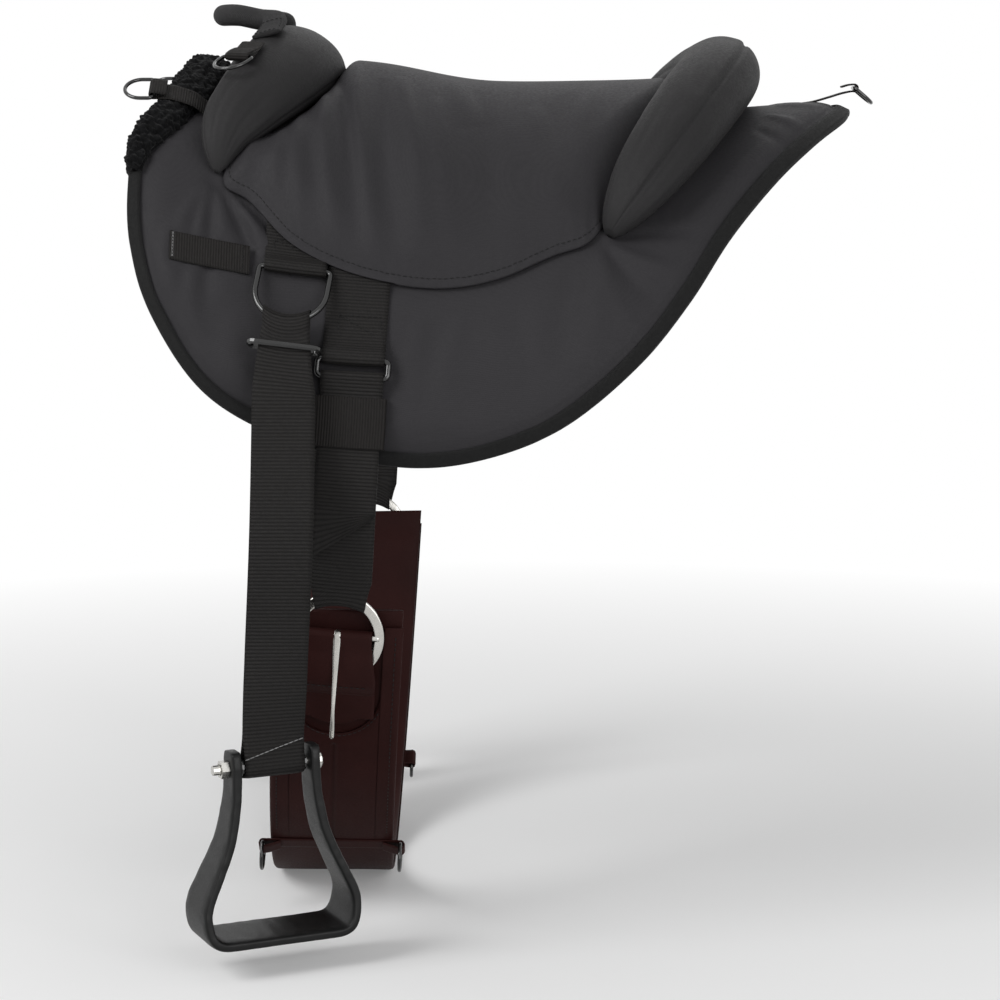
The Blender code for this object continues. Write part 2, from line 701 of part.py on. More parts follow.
def seat_rim():
    """The rim of the seat on the far side: behind the front roll, along the seam, before the rear roll."""
    shares = (0.0, 0.35, 0.7, 0.93)
    front = [FRONT_ROLL.edge(s * FRONT_ROLL.drop, 1, SEAT_ROLL_GAP) for s in shares]
    rear = [REAR_ROLL.edge(s * REAR_ROLL.drop, -1, SEAT_ROLL_GAP) for s in reversed(shares)]
    tips = FRONT_ROLL.centre(FRONT_ROLL.drop), REAR_ROLL.centre(REAR_ROLL.drop)
    seam = [(tips[0] + (tips[1] - tips[0]) * a, SEAT_SEAM_DROP * b) for a, b in SEAM_SHARES]
    half = smooth_curve(front + seam + rear, SEAT_RIM_COUNT)
    half[0], half[-1] = (half[0][0], 0), (half[-1][0], 0)
    return half + [(x, -drop) for x, drop in half[-2:0:-1]]


def make_seat():
    rim = seat_rim()
    centre = ((rim[0][0] + rim[SEAT_RIM_COUNT - 1][0]) / 2, 0)
    loops = [[(x + (centre[0] - x) * s, drop * (1 - s)) for x, drop in rim] for s in SEAT_LOOP_SHARES]

    def foam_lift(k, drop):
        share = min(1.0, (list(SEAT_LOOP_SHARES) + [1.0])[k] / SEAT_ROUND_SHARE)
        fall = math.cos(math.pi / 2 * min(1.0, abs(drop) / SEAT_SEAM_DROP))
        full = SEAT_SIDE_HEIGHT + (SEAT_HEIGHT - SEAT_SIDE_HEIGHT) * fall
        return SEAT_BASE + SEAT_EDGE + (full - SEAT_EDGE) * math.sqrt(1 - (1 - share) ** 2)

    def foam(k, x, drop):
        return SEAT_BASE, foam_lift(k + 1, drop)

    def cover(k, x, drop):
        under = foam_lift(k, drop) + GAP if k else SEAT_BASE + GAP
        return under, under + SEAT_SKIN

    panel("seat_foam", loops[1:], foam, centre, FILLING)
    panel("seat_cover", loops, cover, centre, CLOTH)


def make_collar():
    """Fleece folded over the front edge, thick at the withers and thin at both ends."""
    end = BINDING_START_SHARE * PAD_DROP - BINDING
    last, point = rim_split(end)
    path = mirrored(RIM_HALF[:last] + [point])
    sections = []
    for x, drop in path:
        scale = 1 - (1 - COLLAR_END_SHARE) * (abs(drop) / end) ** 1.3
        beside = min(FRONT_ROLL.edge(min(abs(drop) + k * MM, FRONT_ROLL.drop), -1, COLLAR_ROLL_GAP)[0]
                     for k in (0, 8, 16, 24))
        depth, height = COLLAR_DEPTH * scale, COLLAR_HEIGHT * scale
        reach = min(COLLAR_REACH * scale, beside - x)
        top = cover_top(reach)
        inner = RIM_FOAM_SETBACK * reach / COLLAR_REACH
        section = [(-CLEARANCE, GAP), (-CLEARANCE, cover_top(0) + CLEARANCE)]
        section += [(inner, cover_top(inner) + CLEARANCE), (reach, top + CLEARANCE)]
        section += [(reach * a, top + height * b) for a, b in COLLAR_TOP_SHARES]
        section += [(-depth * a, top + height * b) for a, b in COLLAR_FRONT_SHARES]
        section += [(-depth, top * COLLAR_NOSE_SHARE), (-depth * COLLAR_FOOT_SHARE, GAP)]
        sections.append(section)
    solid("fleece_collar", drape(path, sections), FLEECE)


# Straps over the back

WRAP = FLAP_RING_WIRE + WIRE_CLEARANCE + WEBBING / 2
LYING = STRAP_LIFT + WEBBING / 2
FLAP_BAR_LIFT = LYING + WRAP
SLIDE_WRAP = SLIDE_WIRE + WIRE_CLEARANCE + WEBBING / 2
SLIDE_LIFT = LYING + WEBBING + SLIDE_WRAP
STATION = 26 * MM


def over_the_back(start):
    """Points lying on the pad from a drop up to the spine and down to the same drop on the far side."""
    count = max(2, round(start / STATION))
    half = [(start * (1 - k / count), LYING) for k in range(count)]
    return half + [(0, LYING)] + [(-d, lift) for d, lift in reversed(half)]


def both_ends(end, start):
    """A strap's line: its near end, over the back, and the same end on the far side."""
    return end + over_the_back(start) + [(-d, lift) for d, lift in reversed(end)]


def make_hanger():
    """Carries both flap D-rings: it passes over the back under the seat and folds round their bars."""
    bar = FLAP_BAR_DROP
    high = FLAP_BAR_LIFT + WRAP - LYING
    end = [(bar - 2 * WRAP, LYING)] + arc((bar, FLAP_BAR_LIFT), WRAP, -90, 90, 6)
    end += [(bar - back, LYING + share * high) for back, share in HANGER_SEWN_END]
    line = both_ends(end, bar - HANGER_SEWN_START)
    solid("stirrup_hanger_strap", ribbon(line, lambda drop: HANGER_X), TAPE)


def make_billet():
    """Carries both girth slides: over the back under the seat, then folded round each slide's upper bar."""
    bar = GIRTH_SLIDE_DROP
    high = SLIDE_LIFT + SLIDE_WRAP - LYING
    end = [(bar - back, LYING + share * high) for back, share in BILLET_APPROACH]
    end += arc((bar, SLIDE_LIFT), SLIDE_WRAP, -90, 90, 6)
    end += [(bar - back, LYING + share * high) for back, share in BILLET_SEWN_END]
    solid("girth_billet_strap", ribbon(both_ends(end, bar - BILLET_SEWN_START), girth_x), TAPE)


def rounded_outline(half_wide, half_tall, corner, steps=3):
    """A rectangle with round corners."""
    a, b = half_wide - corner, half_tall - corner
    return (arc((a, -b), corner, -90, 0, steps) + arc((a, b), corner, 0, 90, steps)
            + arc((-a, b), corner, 90, 180, steps) + arc((-a, -b), corner, 180, 270, steps))


def make_girth_slide(side):
    """Flat two-bar slide between billet and girth strap."""
    middle = GIRTH_SLIDE_DROP + GIRTH_SLIDE_PITCH / 2
    frame = barrel_frame(girth_x(middle), -middle, SLIDE_LIFT)
    outline = rounded_outline(GIRTH_SLIDE_HALF_WIDTH, GIRTH_SLIDE_PITCH / 2, GIRTH_SLIDE_PITCH / 4)
    solid("girth_slide_" + side, sided(side, flat_loop(frame, outline, SLIDE_WIRE)), BLACK_METAL, closed=True)


# Girth strap: lift of its layers where the keeper goes round them
KEEPER_UNDER = LYING
MAIN_LIFT = KEEPER_UNDER + WEBBING + CLEARANCE
TAIL_LIFT = MAIN_LIFT + WEBBING + CLEARANCE
KEEPER_OVER = TAIL_LIFT + WEBBING + CLEARANCE
RING_SAG = RING_RADIUS ** 2 * BARREL_HALF_WIDTH / (2 * BARREL_DOWN ** 2)


def make_girth_strap(side):
    """Sewn round the ring, up to the slide, over its lower bar, and down again as the tail."""
    bar = GIRTH_SLIDE_DROP + GIRTH_SLIDE_PITCH
    band = RING_DROP - RING_RADIUS
    level = RING_LIFT + RING_SAG
    low = level - RING_THICKNESS / 2 - RING_FOLD_CLEARANCE - WEBBING / 2
    high = level + RING_THICKNESS / 2 + RING_FOLD_CLEARANCE / 2 + WEBBING / 2
    past = band + RING_BAND / 2 + RING_FOLD_CLEARANCE + WEBBING / 2
    inner = RING_RADIUS - RING_BAND / 2 - RING_FOLD_CLEARANCE
    places = [band + d for d in RING_FOLD_PLACES]
    line = [(band - FOLDED_END, MAIN_LIFT - WEBBING - CLEARANCE), (places[0], level),
            (places[1], low + RING_FOLD_EASE), (places[2], low), (places[3], low),
            (past, low + RING_FOLD_CLEARANCE / 2), (past, high - RING_FOLD_CLEARANCE / 2),
            (places[3], high), (places[2], high)]
    fold = len(line)
    lower, upper = KEEPER_DROPS[-1] + KEEPER_REACH, KEEPER_DROPS[0] - KEEPER_REACH
    line += [(band + (lower - band) * k / 4, MAIN_LIFT) for k in (1, 2, 3, 4)]
    line += [(d, MAIN_LIFT) for d in reversed(KEEPER_DROPS)]
    line += [(upper, SLIDE_LIFT - SLIDE_WRAP)]
    line += arc((bar, SLIDE_LIFT), SLIDE_WRAP, -90, -270, 6)
    line += [(upper, TAIL_LIFT + SLIDE_WRAP / 2)] + [(d, TAIL_LIFT) for d in KEEPER_DROPS]
    line += [(lower + (TAIL_DROP - lower) * k / 4, TAIL_LIFT) for k in range(5)]

    def half(i, drop):
        return (BUNCHED_WIDTH if 2 <= i < fold else WEBBING_WIDTH) / 2

    def shift(i, across):
        if i == len(line) - 1:
            return -TAIL_CUT * (across / WEBBING_WIDTH + 0.5)
        if 2 <= i < fold:
            return inner - math.sqrt(inner ** 2 - across ** 2)
        return 0

    rings = ribbon(line, girth_x, half, WEBBING, (-1, 0, 1), shift)
    solid("girth_strap_" + side, sided(side, rings), TAPE)


def make_keeper(side):
    """Webbing loop round the girth strap and its tail."""
    shells = []
    for grow in (WEBBING / 2, -WEBBING / 2):
        half = KEEPER_HALF_WIDTH + grow
        under, over = KEEPER_UNDER - grow, KEEPER_OVER + grow
        section = [(-half, under), (half, under), (half, over), (-half, over)]
        shells.append([[on_barrel(girth_x(d) + a, -d, lift) for a, lift in section] for d in KEEPER_DROPS])
    work = bmesh.new()
    walls = []
    for shell in shells:
        rows = [[work.verts.new(p) for p in loop] for loop in sided(side, shell)]
        for first, second in zip(rows, rows[1:]):
            for i in range(4):
                work.faces.new((first[i], first[(i + 1) % 4], second[(i + 1) % 4], second[i]))
        walls.append(rows)
    for end in (0, -1):
        a, b = walls[0][end], walls[1][end]
        for i in range(4):
            work.faces.new((a[i], a[(i + 1) % 4], b[(i + 1) % 4], b[i]))
    name = "strap_keeper_" + side
    finish(name, work, bpy.data.meshes.new(name), TAPE, None, smooth=False)


# Ring, tongue and girth

def ring_frame():
    return barrel_frame(girth_x(RING_DROP), -RING_DROP, RING_LIFT)


def make_ring(side):
    """Flat ring with a centre bar."""
    frame = ring_frame()
    outline = arc((0, 0), RING_RADIUS, 0, 360, 24)[:-1]
    a, b = RING_BAND / 2, RING_THICKNESS / 2
    rings = flat_loop(frame, outline, 0, section=[(-a, -b), (a, -b), (a, b), (-a, b)])
    ring = solid("girth_ring_" + side, sided(side, rings), NICKEL, closed=True)
    ends = [(-RING_RADIUS, RING_BAR_RADIUS), (RING_RADIUS, RING_BAR_RADIUS)]
    bar = rod("ring_bar_" + side, side, frame[0], frame[1], ends, NICKEL, 12)
    bar.hide_render = True
    bar.display_type = "WIRE"
    join = ring.modifiers.new("bar", "BOOLEAN")
    join.operation = "UNION"
    join.solver = "EXACT"
    join.object = bar


def rod(name, side, origin, axis, profile, mat, sides=12, parent=None):
    """A turned solid from (place along the axis, radius) pairs."""
    across = axis.cross(Vector((0, 0, 1))).normalized()
    up = across.cross(axis)
    rings = []
    for place, radius in profile:
        turns = [2 * math.pi * k / sides for k in range(sides)]
        rings.append([origin + axis * place + (across * math.cos(t) + up * math.sin(t)) * radius
                      for t in turns])
    return solid(name, sided(side, rings), mat, parent=parent, sharp=35)


def washer(name, side, origin, axis, inner, outer, start, end, mat, sides=12, parent=None):
    """A ring of rectangular section round an axis, its flats clear of the inner radius."""
    across = axis.cross(Vector((0, 0, 1))).normalized()
    up = across.cross(axis)
    spread = 1 / math.cos(math.pi / sides)
    rings = []
    for k in range(sides):
        turn = 2 * math.pi * k / sides
        spoke = across * math.cos(turn) + up * math.sin(turn)
        rings.append([origin + axis * place + spoke * radius * spread
                      for place, radius in ((start, inner), (start, outer), (end, outer), (end, inner))])
    return solid(name, sided(side, rings), mat, closed=True, parent=parent, sharp=35)


def make_tongue(side):
    """Bent strip round the ring's bar, hanging down over the chape."""
    wrap = RING_BAR_RADIUS + WIRE_CLEARANCE + TONGUE_THICKNESS / 2
    frame = ring_frame()
    hump = RING_RADIUS + RING_BAND / 2 - 2 * RING_BAND
    fall = hump ** 2 * BARREL_HALF_WIDTH / (2 * BARREL_DOWN ** 2)
    top = RING_THICKNESS / 2 + RING_SAG + RING_FOLD_CLEARANCE + CHAPE - fall
    resting = math.atan2(top + WIRE_CLEARANCE + TONGUE_THICKNESS / 2 - wrap, hump)
    hanging = math.atan2(-frame[3].z, -frame[2].z)
    origin, along, down, out = tilted(frame, max(resting, hanging))
    line = [(wrap * math.sin(math.radians(t)), wrap * math.cos(math.radians(t))) for t in range(-235, 1, 30)]
    bend = [TONGUE_LENGTH * share for share in TONGUE_BEND_SHARES]
    line += [(bend[0], wrap), (bend[1], wrap + TONGUE_BEND), (TONGUE_LENGTH, wrap)]
    rings = []
    for (v, w), right in zip(line, normals_2d(line)):
        half, thick = TONGUE_WIDTH / 2, TONGUE_THICKNESS / 2
        if v == TONGUE_LENGTH:
            half, thick = half / 2, thick / 2
        rings.append([origin + along * a + down * (v + right[0] * b) + out * (w + right[1] * b)
                      for a, b in ((-half, -thick), (half, -thick), (half, thick), (-half, thick))])
    swing = pivot("tongue_axis_" + side, side, origin)
    solid("ring_tongue_" + side, sided(side, rings), NICKEL, parent=swing)


def make_chape(side):
    """Girth end folded round the ring's bar, with a slot for the tongue."""
    wrap = RING_BAR_RADIUS + WIRE_CLEARANCE + CHAPE / 2
    under = RING_LIFT - wrap
    band = RING_DROP + RING_RADIUS + RING_BAND / 2
    over = RING_LIFT + RING_THICKNESS / 2 + RING_SAG + RING_FOLD_CLEARANCE + CHAPE / 2
    flat = under + CHAPE + CLEARANCE
    low = POCKET_DROP - CHAPE_POCKET_GAP
    near = RING_DROP + CHAPE_FOLD_LENGTH
    line = [(low + (near - low) * k / 5, under - CHAPE_SINK * (1 - k / 5)) for k in range(6)]
    line += arc((RING_DROP, RING_LIFT), wrap, -90, -270, 8)
    fold = len(line)
    line += [(near + CHAPE_FOLD_LENGTH, RING_LIFT + wrap), (band - 2 * RING_BAND, over),
             (band + CLEARANCE, over), (band + 2 * CHAPE_FOLD_LENGTH, flat + CHAPE),
             (band + 3 * CHAPE_FOLD_LENGTH, flat), (low, flat)]

    def half(i, drop):
        share = min(1.0, max(0.0, (drop - near) / CHAPE_SPREADING)) if i >= fold else 0
        return CHAPE_FOLD_HALF_WIDTH + (CHAPE_HALF_WIDTH - CHAPE_FOLD_HALF_WIDTH) * share

    def shift(i, across):
        if 0 < i < len(line) - 1:
            return 0
        return -across ** 2 / (2 * CHAPE_HALF_WIDTH)

    name = "girth_chape_" + side
    rings = ribbon(line, girth_x, half, CHAPE, (-1, -0.5, 0, 0.5, 1), shift)
    chape = solid(name, sided(side, rings), GIRTH_BROWN)
    origin, along, down, out = ring_frame()
    slot = [[origin + along * a + down * v + out * w for v, w in CHAPE_SLOT_CORNERS]
            for a in (-CHAPE_SLOT, CHAPE_SLOT)]
    cut(chape, cutter("chape_slot_" + side, sided(side, slot)))


def girth_rings(turns, section):
    """Loops of the girth at angles on the near side down to the belly, and back up the far side."""
    near = []
    for turn in turns:
        x = BILLET_X - BILLET_LEAN * (1 - math.cos(turn)) / 2
        near.append([Vector((x + a, *section_point(x + a, -turn, lift))) for a, lift in section])
    return near + sided("right", near[-2::-1])


GIRTH_OUTSIDE = GIRTH_LINER_LIFT + GIRTH_LINER + 2 * GAP + GIRTH_COVER


def make_girth():
    low, high = GIRTH_LINER_LIFT, GIRTH_LINER_LIFT + GIRTH_LINER
    start = angle_at(GIRTH_TOP + COVER_TOP_SETBACK)
    turns = [start + (math.pi - start) * k / GIRTH_COUNT for k in range(GIRTH_COUNT + 1)]
    half, soft = GIRTH_HALF_WIDTH - GIRTH_COVER / 2, GIRTH_COVER
    section = [(-half, low + soft), (soft - half, low), (half - soft, low), (half, low + soft),
               (half, high - soft), (half - soft, high), (soft - half, high), (-half, high - soft)]
    solid("girth_liner", girth_rings([angle_at(GIRTH_TOP)] + turns, section), GIRTH_BROWN)
    low, high = high + 2 * GAP, GIRTH_OUTSIDE
    half, edge = GIRTH_HALF_WIDTH, GIRTH_COVER / 2
    section = [(-half, low), (half, low), (half, high - edge), (half - edge, high), (edge - half, high),
               (-half, high - edge)]
    cover = solid("girth_cover", girth_rings(turns, section), GIRTH_BROWN)
    top, round_from = GIRTH_TOP - COVER_TOP_SETBACK, POCKET_DROP - POCKET_HALF_WIDTH
    pocket = [(top + (round_from - top) * k / 6, 1.0) for k in range(7)]
    pocket += [(round_from + POCKET_HALF_WIDTH * math.sin(t), math.cos(t))
               for t in POCKET_TURNS]
    for side in ("left", "right"):
        rings = []
        for drop, share in pocket:
            turn, reach = -angle_at(drop), POCKET_HALF_WIDTH * share
            x = girth_x(drop)
            rings.append([Vector((x + a, *section_point(x + a, turn, lift)))
                          for a, lift in ((-reach, low - POCKET_DEEPER), (reach, low - POCKET_DEEPER),
                                          (reach, high + POCKET_DEEPER), (-reach, high + POCKET_DEEPER))])
        cut(cover, cutter("pocket_" + side, sided(side, rings)))


def strip(points, across, half, thickness):
    """Loops of a strap through points, its width along one direction."""
    rings = []
    for i, p in enumerate(points):
        step = (points[min(i + 1, len(points) - 1)] - points[max(i - 1, 0)]).normalized()
        face = step.cross(across).normalized() * thickness / 2
        rings.append([p + across * a + face * b for a, b in ((-half, -1), (half, -1), (half, 1), (-half, 1))])
    return rings


SMALL_WRAP = SMALL_WIRE + WIRE_CLEARANCE + WEBBING / 2


def make_small_ring(name, side, frame, half, length):
    """A small D-ring hung from the middle of its bar, on its own axis."""
    swing = pivot(name + "_axis", side, frame[0])
    rings = flat_loop(frame, ring_outline(half, length, SMALL_CORNER, 6), SMALL_WIRE, 6)
    solid(name, sided(side, rings), BLACK_METAL, closed=True, parent=swing)


def make_girth_rings(side):
    """A strap across the girth with a small D-ring at both edges."""
    turn = -angle_at(GIRTH_RING_DROP)
    middle = girth_x(GIRTH_RING_DROP)
    lying = GIRTH_OUTSIDE + CLEARANCE + WEBBING / 2
    reach = GIRTH_HALF_WIDTH + 2 * SMALL_WRAP
    bar_lift = lying + SMALL_WRAP

    def place(x, lift):
        return Vector((middle + x, *section_point(middle + x, turn, lift)))

    sewn, fold, first = (place - reach for place in GIRTH_TAB_PLACES)
    end = [(sewn, lying + WEBBING + CLEARANCE), (fold, bar_lift + SMALL_WRAP * TAB_FOLD_SHARE)]
    end += [(-reach + SMALL_WRAP * math.cos(t), bar_lift + SMALL_WRAP * math.sin(t))
            for t in (math.radians(a) for a in range(90, 271, 30))]
    line = end + [(first, lying), (-first, lying)] + [(-x, lift) for x, lift in reversed(end)]
    origin, along, down, out = barrel_frame(middle, -GIRTH_RING_DROP, lying)
    rings = strip([place(x, lift) for x, lift in line], down, TINY_RING_HALF_WIDTH - 2 * SMALL_WIRE, WEBBING)
    solid("girth_dring_strap_" + side, sided(side, rings), TAPE)
    for end_name, x in (("front", -reach), ("rear", reach)):
        frame = (place(x, bar_lift), down, out, along)
        name = "girth_dring_" + end_name + "_" + side
        make_small_ring(name, side, frame, TINY_RING_HALF_WIDTH, TINY_RING_LENGTH)


# Flap D-ring, stirrup strap and stirrup

FLAP_FRAME = tilted(barrel_frame(HANGER_X, -FLAP_BAR_DROP, FLAP_BAR_LIFT), FLAP_RING_TILT)
BOW_CENTRE = FLAP_FRAME[0] + FLAP_FRAME[2] * (FLAP_RING_LENGTH - FLAP_RING_HALF_WIDTH)
BOW = FLAP_FRAME[0] + FLAP_FRAME[2] * FLAP_RING_LENGTH
BOLT = Vector((HANGER_X - STIRRUP_STRAP_FORWARD, -STIRRUP_STRAP_HANG, BOLT_Z))


def strap_stations():
    """Stations of the doubled stirrup strap: distance below the bow, place, width direction and normal."""
    points = [BOW] + [on_barrel(BOW.x, -drop, STRAP_STAND_OFF) for drop in (BOW_DROP, STRAP_PAD_DROP)]
    for way, height in STRAP_FALL_SHARES:
        points.append(Vector((BOW.x + (BOLT.x - BOW.x) * way, BOLT.y, BOLT.z * height)))
    line = [Vector(p) for p in smooth_curve(points + [BOLT], 241)]
    step = sum((b - a).length for a, b in zip(line, line[1:])) / 240
    total = step * 240
    first, last = STRAP_TOP_STATIONS[-1], total - SLEEVE_CLOSING
    places = list(STRAP_TOP_STATIONS) + [first + (last - first) * k / 7 for k in range(1, 8)]
    stations = []
    for below in places + [total - STRAP_SLEEVE_STATION, total]:
        k = min(239, round(below / step))
        run = (line[min(k + 3, 240)] - line[max(k - 3, 0)]).normalized()
        share = min(1.0, max(0.0, 1 - (total - below) / TWIST_LENGTH))
        turn = Matrix.Rotation(STIRRUP_YAW * share * share * (3 - 2 * share), 3, "Z")
        along = FLAP_FRAME[1] if below < STRAP_SPREADING else Vector((1, 0, 0))
        face = run.cross(along).normalized()
        run = along.cross(face)
        stations.append((below, total - below, line[round(below / step)], turn @ along, turn @ face, run))
    return stations


BOW_DROP = FLAP_BAR_DROP + FLAP_RING_LENGTH + SEAM_BELOW_RING
STRAP_PAD_DROP = BOW_DROP + STRAP_OVER_FLAP
SLEEVE_RADIUS = BOLT_RADIUS + BOLT_HOLE_CLEARANCE + SLEEVE
STATIONS = strap_stations()


def make_stirrup_strap(side, parent):
    """Closed loop of webbing round the D-ring's bow and round the sleeve on the stirrup's bolt."""
    bow_wrap = FLAP_RING_WIRE + FOLD_CLEARANCE + WEBBING / 2
    sleeve_wrap = SLEEVE_RADIUS + WIRE_CLEARANCE + WEBBING / 2
    closed = (STIRRUP_STRAP_GAP + WEBBING) / 2

    def spread(below, above):
        if above < SLEEVE_CLOSING:
            return closed + (sleeve_wrap - closed) * (1 - above / SLEEVE_CLOSING) ** 1.5
        if below < STRAP_CLOSING:
            return closed + (bow_wrap - closed) * (1 - (below / STRAP_CLOSING) ** 2)
        return closed

    def section(station, centre, normal):
        below, above, place, along, face, run = station
        fade = min(1.0, max(0.0, (STRAP_SPREADING - below) / (STRAP_SPREADING - STRAP_CLOSING)))
        half = (WEBBING_WIDTH + (BUNCHED_WIDTH - WEBBING_WIDTH) * fade) / 2
        lower = (FLAP_FRAME[2] if below < STRAP_CLOSING else run) * fade
        outer, inner = [], []
        for c in STRAP_COLUMNS:
            higher = FLAP_RING_HALF_WIDTH - math.sqrt(FLAP_RING_HALF_WIDTH ** 2 - (c * half * fade) ** 2)
            p = centre + along * (c * half) - lower * higher
            outer.append(p + normal * WEBBING / 2)
            inner.append(p - normal * WEBBING / 2)
        return outer + inner[::-1]

    rings = []
    for station in STATIONS:
        below, above, place, along, face, run = station
        rings.append(section(station, place + face * spread(below, above), face))
    last = STATIONS[-1]
    for turn in (math.radians(a) for a in (30, 60, 90, 120, 150)):
        normal = last[4] * math.cos(turn) + last[5] * math.sin(turn)
        rings.append(section(last, last[2] + normal * sleeve_wrap, normal))
    for station in reversed(STATIONS):
        below, above, place, along, face, run = station
        rings.append(section(station, place - face * spread(below, above), -face))
    first = STATIONS[0]
    for turn in (math.radians(a) for a in (150, 120, 90, 60, 30)):
        normal = first[4] * math.cos(turn) - first[5] * math.sin(turn)
        rings.append(section(first, first[2] + normal * bow_wrap, normal))
    solid("stirrup_strap_" + side, sided(side, rings), TAPE, closed=True, parent=parent)


def make_stirrup_slide(side, parent):
    """Wire loop round both layers of the stirrup strap."""
    station = min(STATIONS, key=lambda s: abs(s[0] - STIRRUP_SLIDE_BELOW))
    tall = (STIRRUP_STRAP_GAP + 2 * WEBBING) / 2 + WIRE_CLEARANCE + SLIDE_WIRE
    outline = rounded_outline(WEBBING_WIDTH / 2 + WIRE_CLEARANCE + SLIDE_WIRE, tall, tall - CLEARANCE)
    frame = (station[2], station[3], station[4], station[5])
    rings = flat_loop(frame, outline, SLIDE_WIRE)
    solid("stirrup_slide_" + side, sided(side, rings), BLACK_METAL, closed=True, parent=parent)


def make_stirrup(side, parent):
    """Bell-shaped stirrup with flared arms and a broad flat tread, on its bolt."""
    axis = Matrix.Rotation(STIRRUP_YAW, 3, "Z") @ Vector((1, 0, 0))
    deep = Vector((0, 0, 1)).cross(axis)
    down = Vector((0, 0, -1))
    reach = STIRRUP_HALF_WIDTH - STIRRUP_NECK_HALF_WIDTH
    half = smooth_curve([(STIRRUP_NECK_HALF_WIDTH + reach * a, STIRRUP_HEIGHT * b) for a, b in STIRRUP_SHARES]
                        + [(0, STIRRUP_HEIGHT)], STIRRUP_HALF_COUNT)
    line = half + [(-a, c) for a, c in half[-2::-1]]
    rings = []
    for (a, c), right in zip(line, normals_2d(line)):
        share = min(1.0, max(0.0, c / STIRRUP_HEIGHT))
        depth = STIRRUP_NECK_DEPTH + (STIRRUP_TREAD_DEPTH - STIRRUP_NECK_DEPTH) * share ** 1.3
        t, d, ch = STIRRUP_WALL / 2, depth / 2, STIRRUP_CHAMFER
        shape = ((-t, ch - d), (ch - t, -d), (t - ch, -d), (t, ch - d), (t, d - ch), (t - ch, d), (ch - t, d),
                 (-t, d - ch))
        rings.append([BOLT + axis * (a + right[0] * u) + down * (c + right[1] * u) + deep * v
                      for u, v in shape])
    frame = solid("stirrup_frame_" + side, sided(side, rings), PLASTIC, parent=parent, sharp=40)
    wide = STIRRUP_NECK_HALF_WIDTH + 2 * STIRRUP_WALL
    bore = BOLT_RADIUS + BOLT_HOLE_CLEARANCE
    hole = rod("bolt_hole_" + side, side, BOLT, axis, [(-wide, bore), (wide, bore)], FILLING, 16)
    hole.hide_render = True
    hole.display_type = "WIRE"
    cut(frame, hole)
    face = STIRRUP_NECK_HALF_WIDTH + STIRRUP_WALL / 2 + CLEARANCE
    profile = [(-face - BOLT_TAIL, BOLT_RADIUS), (face, BOLT_RADIUS), (face, BOLT_HEAD_RADIUS)]
    profile += [(face + BOLT_HEAD_EDGE, BOLT_HEAD_RADIUS), (face + BOLT_HEAD, BOLT_HEAD_TOP_RADIUS)]
    rod("stirrup_bolt_" + side, side, BOLT, axis, profile, NICKEL, 12, parent)
    washer("stirrup_nut_" + side, side, BOLT, axis, BOLT_RADIUS + GAP, NUT_RADIUS, -face - NUT, -face,
           NICKEL, 6, parent)
    washer("strap_sleeve_" + side, side, BOLT, axis, bore, SLEEVE_RADIUS / SLEEVE_EASE,
           -SLEEVE_LENGTH / 2, SLEEVE_LENGTH / 2, BLACK_METAL, 12, parent)


def make_stirrup_side(side):
    hang = pivot("flap_ring_axis_" + side, side, FLAP_FRAME[0])
    outline = ring_outline(FLAP_RING_HALF_WIDTH, FLAP_RING_LENGTH, FLAP_RING_CORNER, 14)
    rings = flat_loop(FLAP_FRAME, outline, FLAP_RING_WIRE, 6)
    solid("flap_dring_" + side, sided(side, rings), BLACK_METAL, closed=True, parent=hang)
    swing = pivot("stirrup_strap_axis_" + side, side, BOW_CENTRE, hang)
    make_stirrup_strap(side, swing)
    make_stirrup_slide(side, swing)
    rock = pivot("stirrup_axis_" + side, side, BOLT, swing)
    make_stirrup(side, rock)


# Handle, tabs and small rings

def make_handle():
    """Webbing tube from one side of the front roll forward and up and down again to the other side."""
    foot, off = HANDLE_PATCH_ANGLE, HANDLE_PATCH / 2 + WIRE_CLEARANCE
    spots = [FRONT_ROLL.surface(-d, foot, off) for d in (HANDLE_PATCH_FAR, HANDLE_PATCH_NEAR)]
    front = FRONT_ROLL_X - HANDLE_FORWARD
    free = [Vector((FRONT_ROLL_X - HANDLE_FORWARD * a, -HANDLE_PATCH_NEAR * b, HANDLE_RISE * c))
            for a, b, c in ((0.45, 0.80, 0.955), (0.80, 0.50, 1.0))]
    line = [spots[0][0], spots[1][0]] + free
    line += [Vector((front, 0, HANDLE_RISE))] + [Vector((p.x, -p.y, p.z)) for p in reversed(line)]
    points = [Vector(p) for p in smooth_curve(line, HANDLE_COUNT)]
    last = HANDLE_COUNT - 1
    up = spots[0][1]
    rings = []
    for i, p in enumerate(points):
        step = (points[min(i + 1, last)] - points[max(i - 1, 0)]).normalized()
        side_dir = step.cross(up).normalized()
        up = side_dir.cross(step).normalized()
        share = min(1.0, min(i, last - i) / HANDLE_GROWING_COUNT)
        share = share * share * (3 - 2 * share)
        wide = HANDLE_PATCH_WIDTH / 2 + (HANDLE_RADIUS - HANDLE_PATCH_WIDTH / 2) * share
        tall = HANDLE_PATCH / 2 + (HANDLE_RADIUS - HANDLE_PATCH / 2) * share
        middle = p + up * (tall - HANDLE_PATCH / 2)
        turns = [2 * math.pi * (k + 0.5) / 8 for k in range(8)]
        rings.append([middle + side_dir * wide * math.cos(t) + up * tall * math.sin(t) for t in turns])
    solid("grab_handle", rings, TAPE, sharp=80)


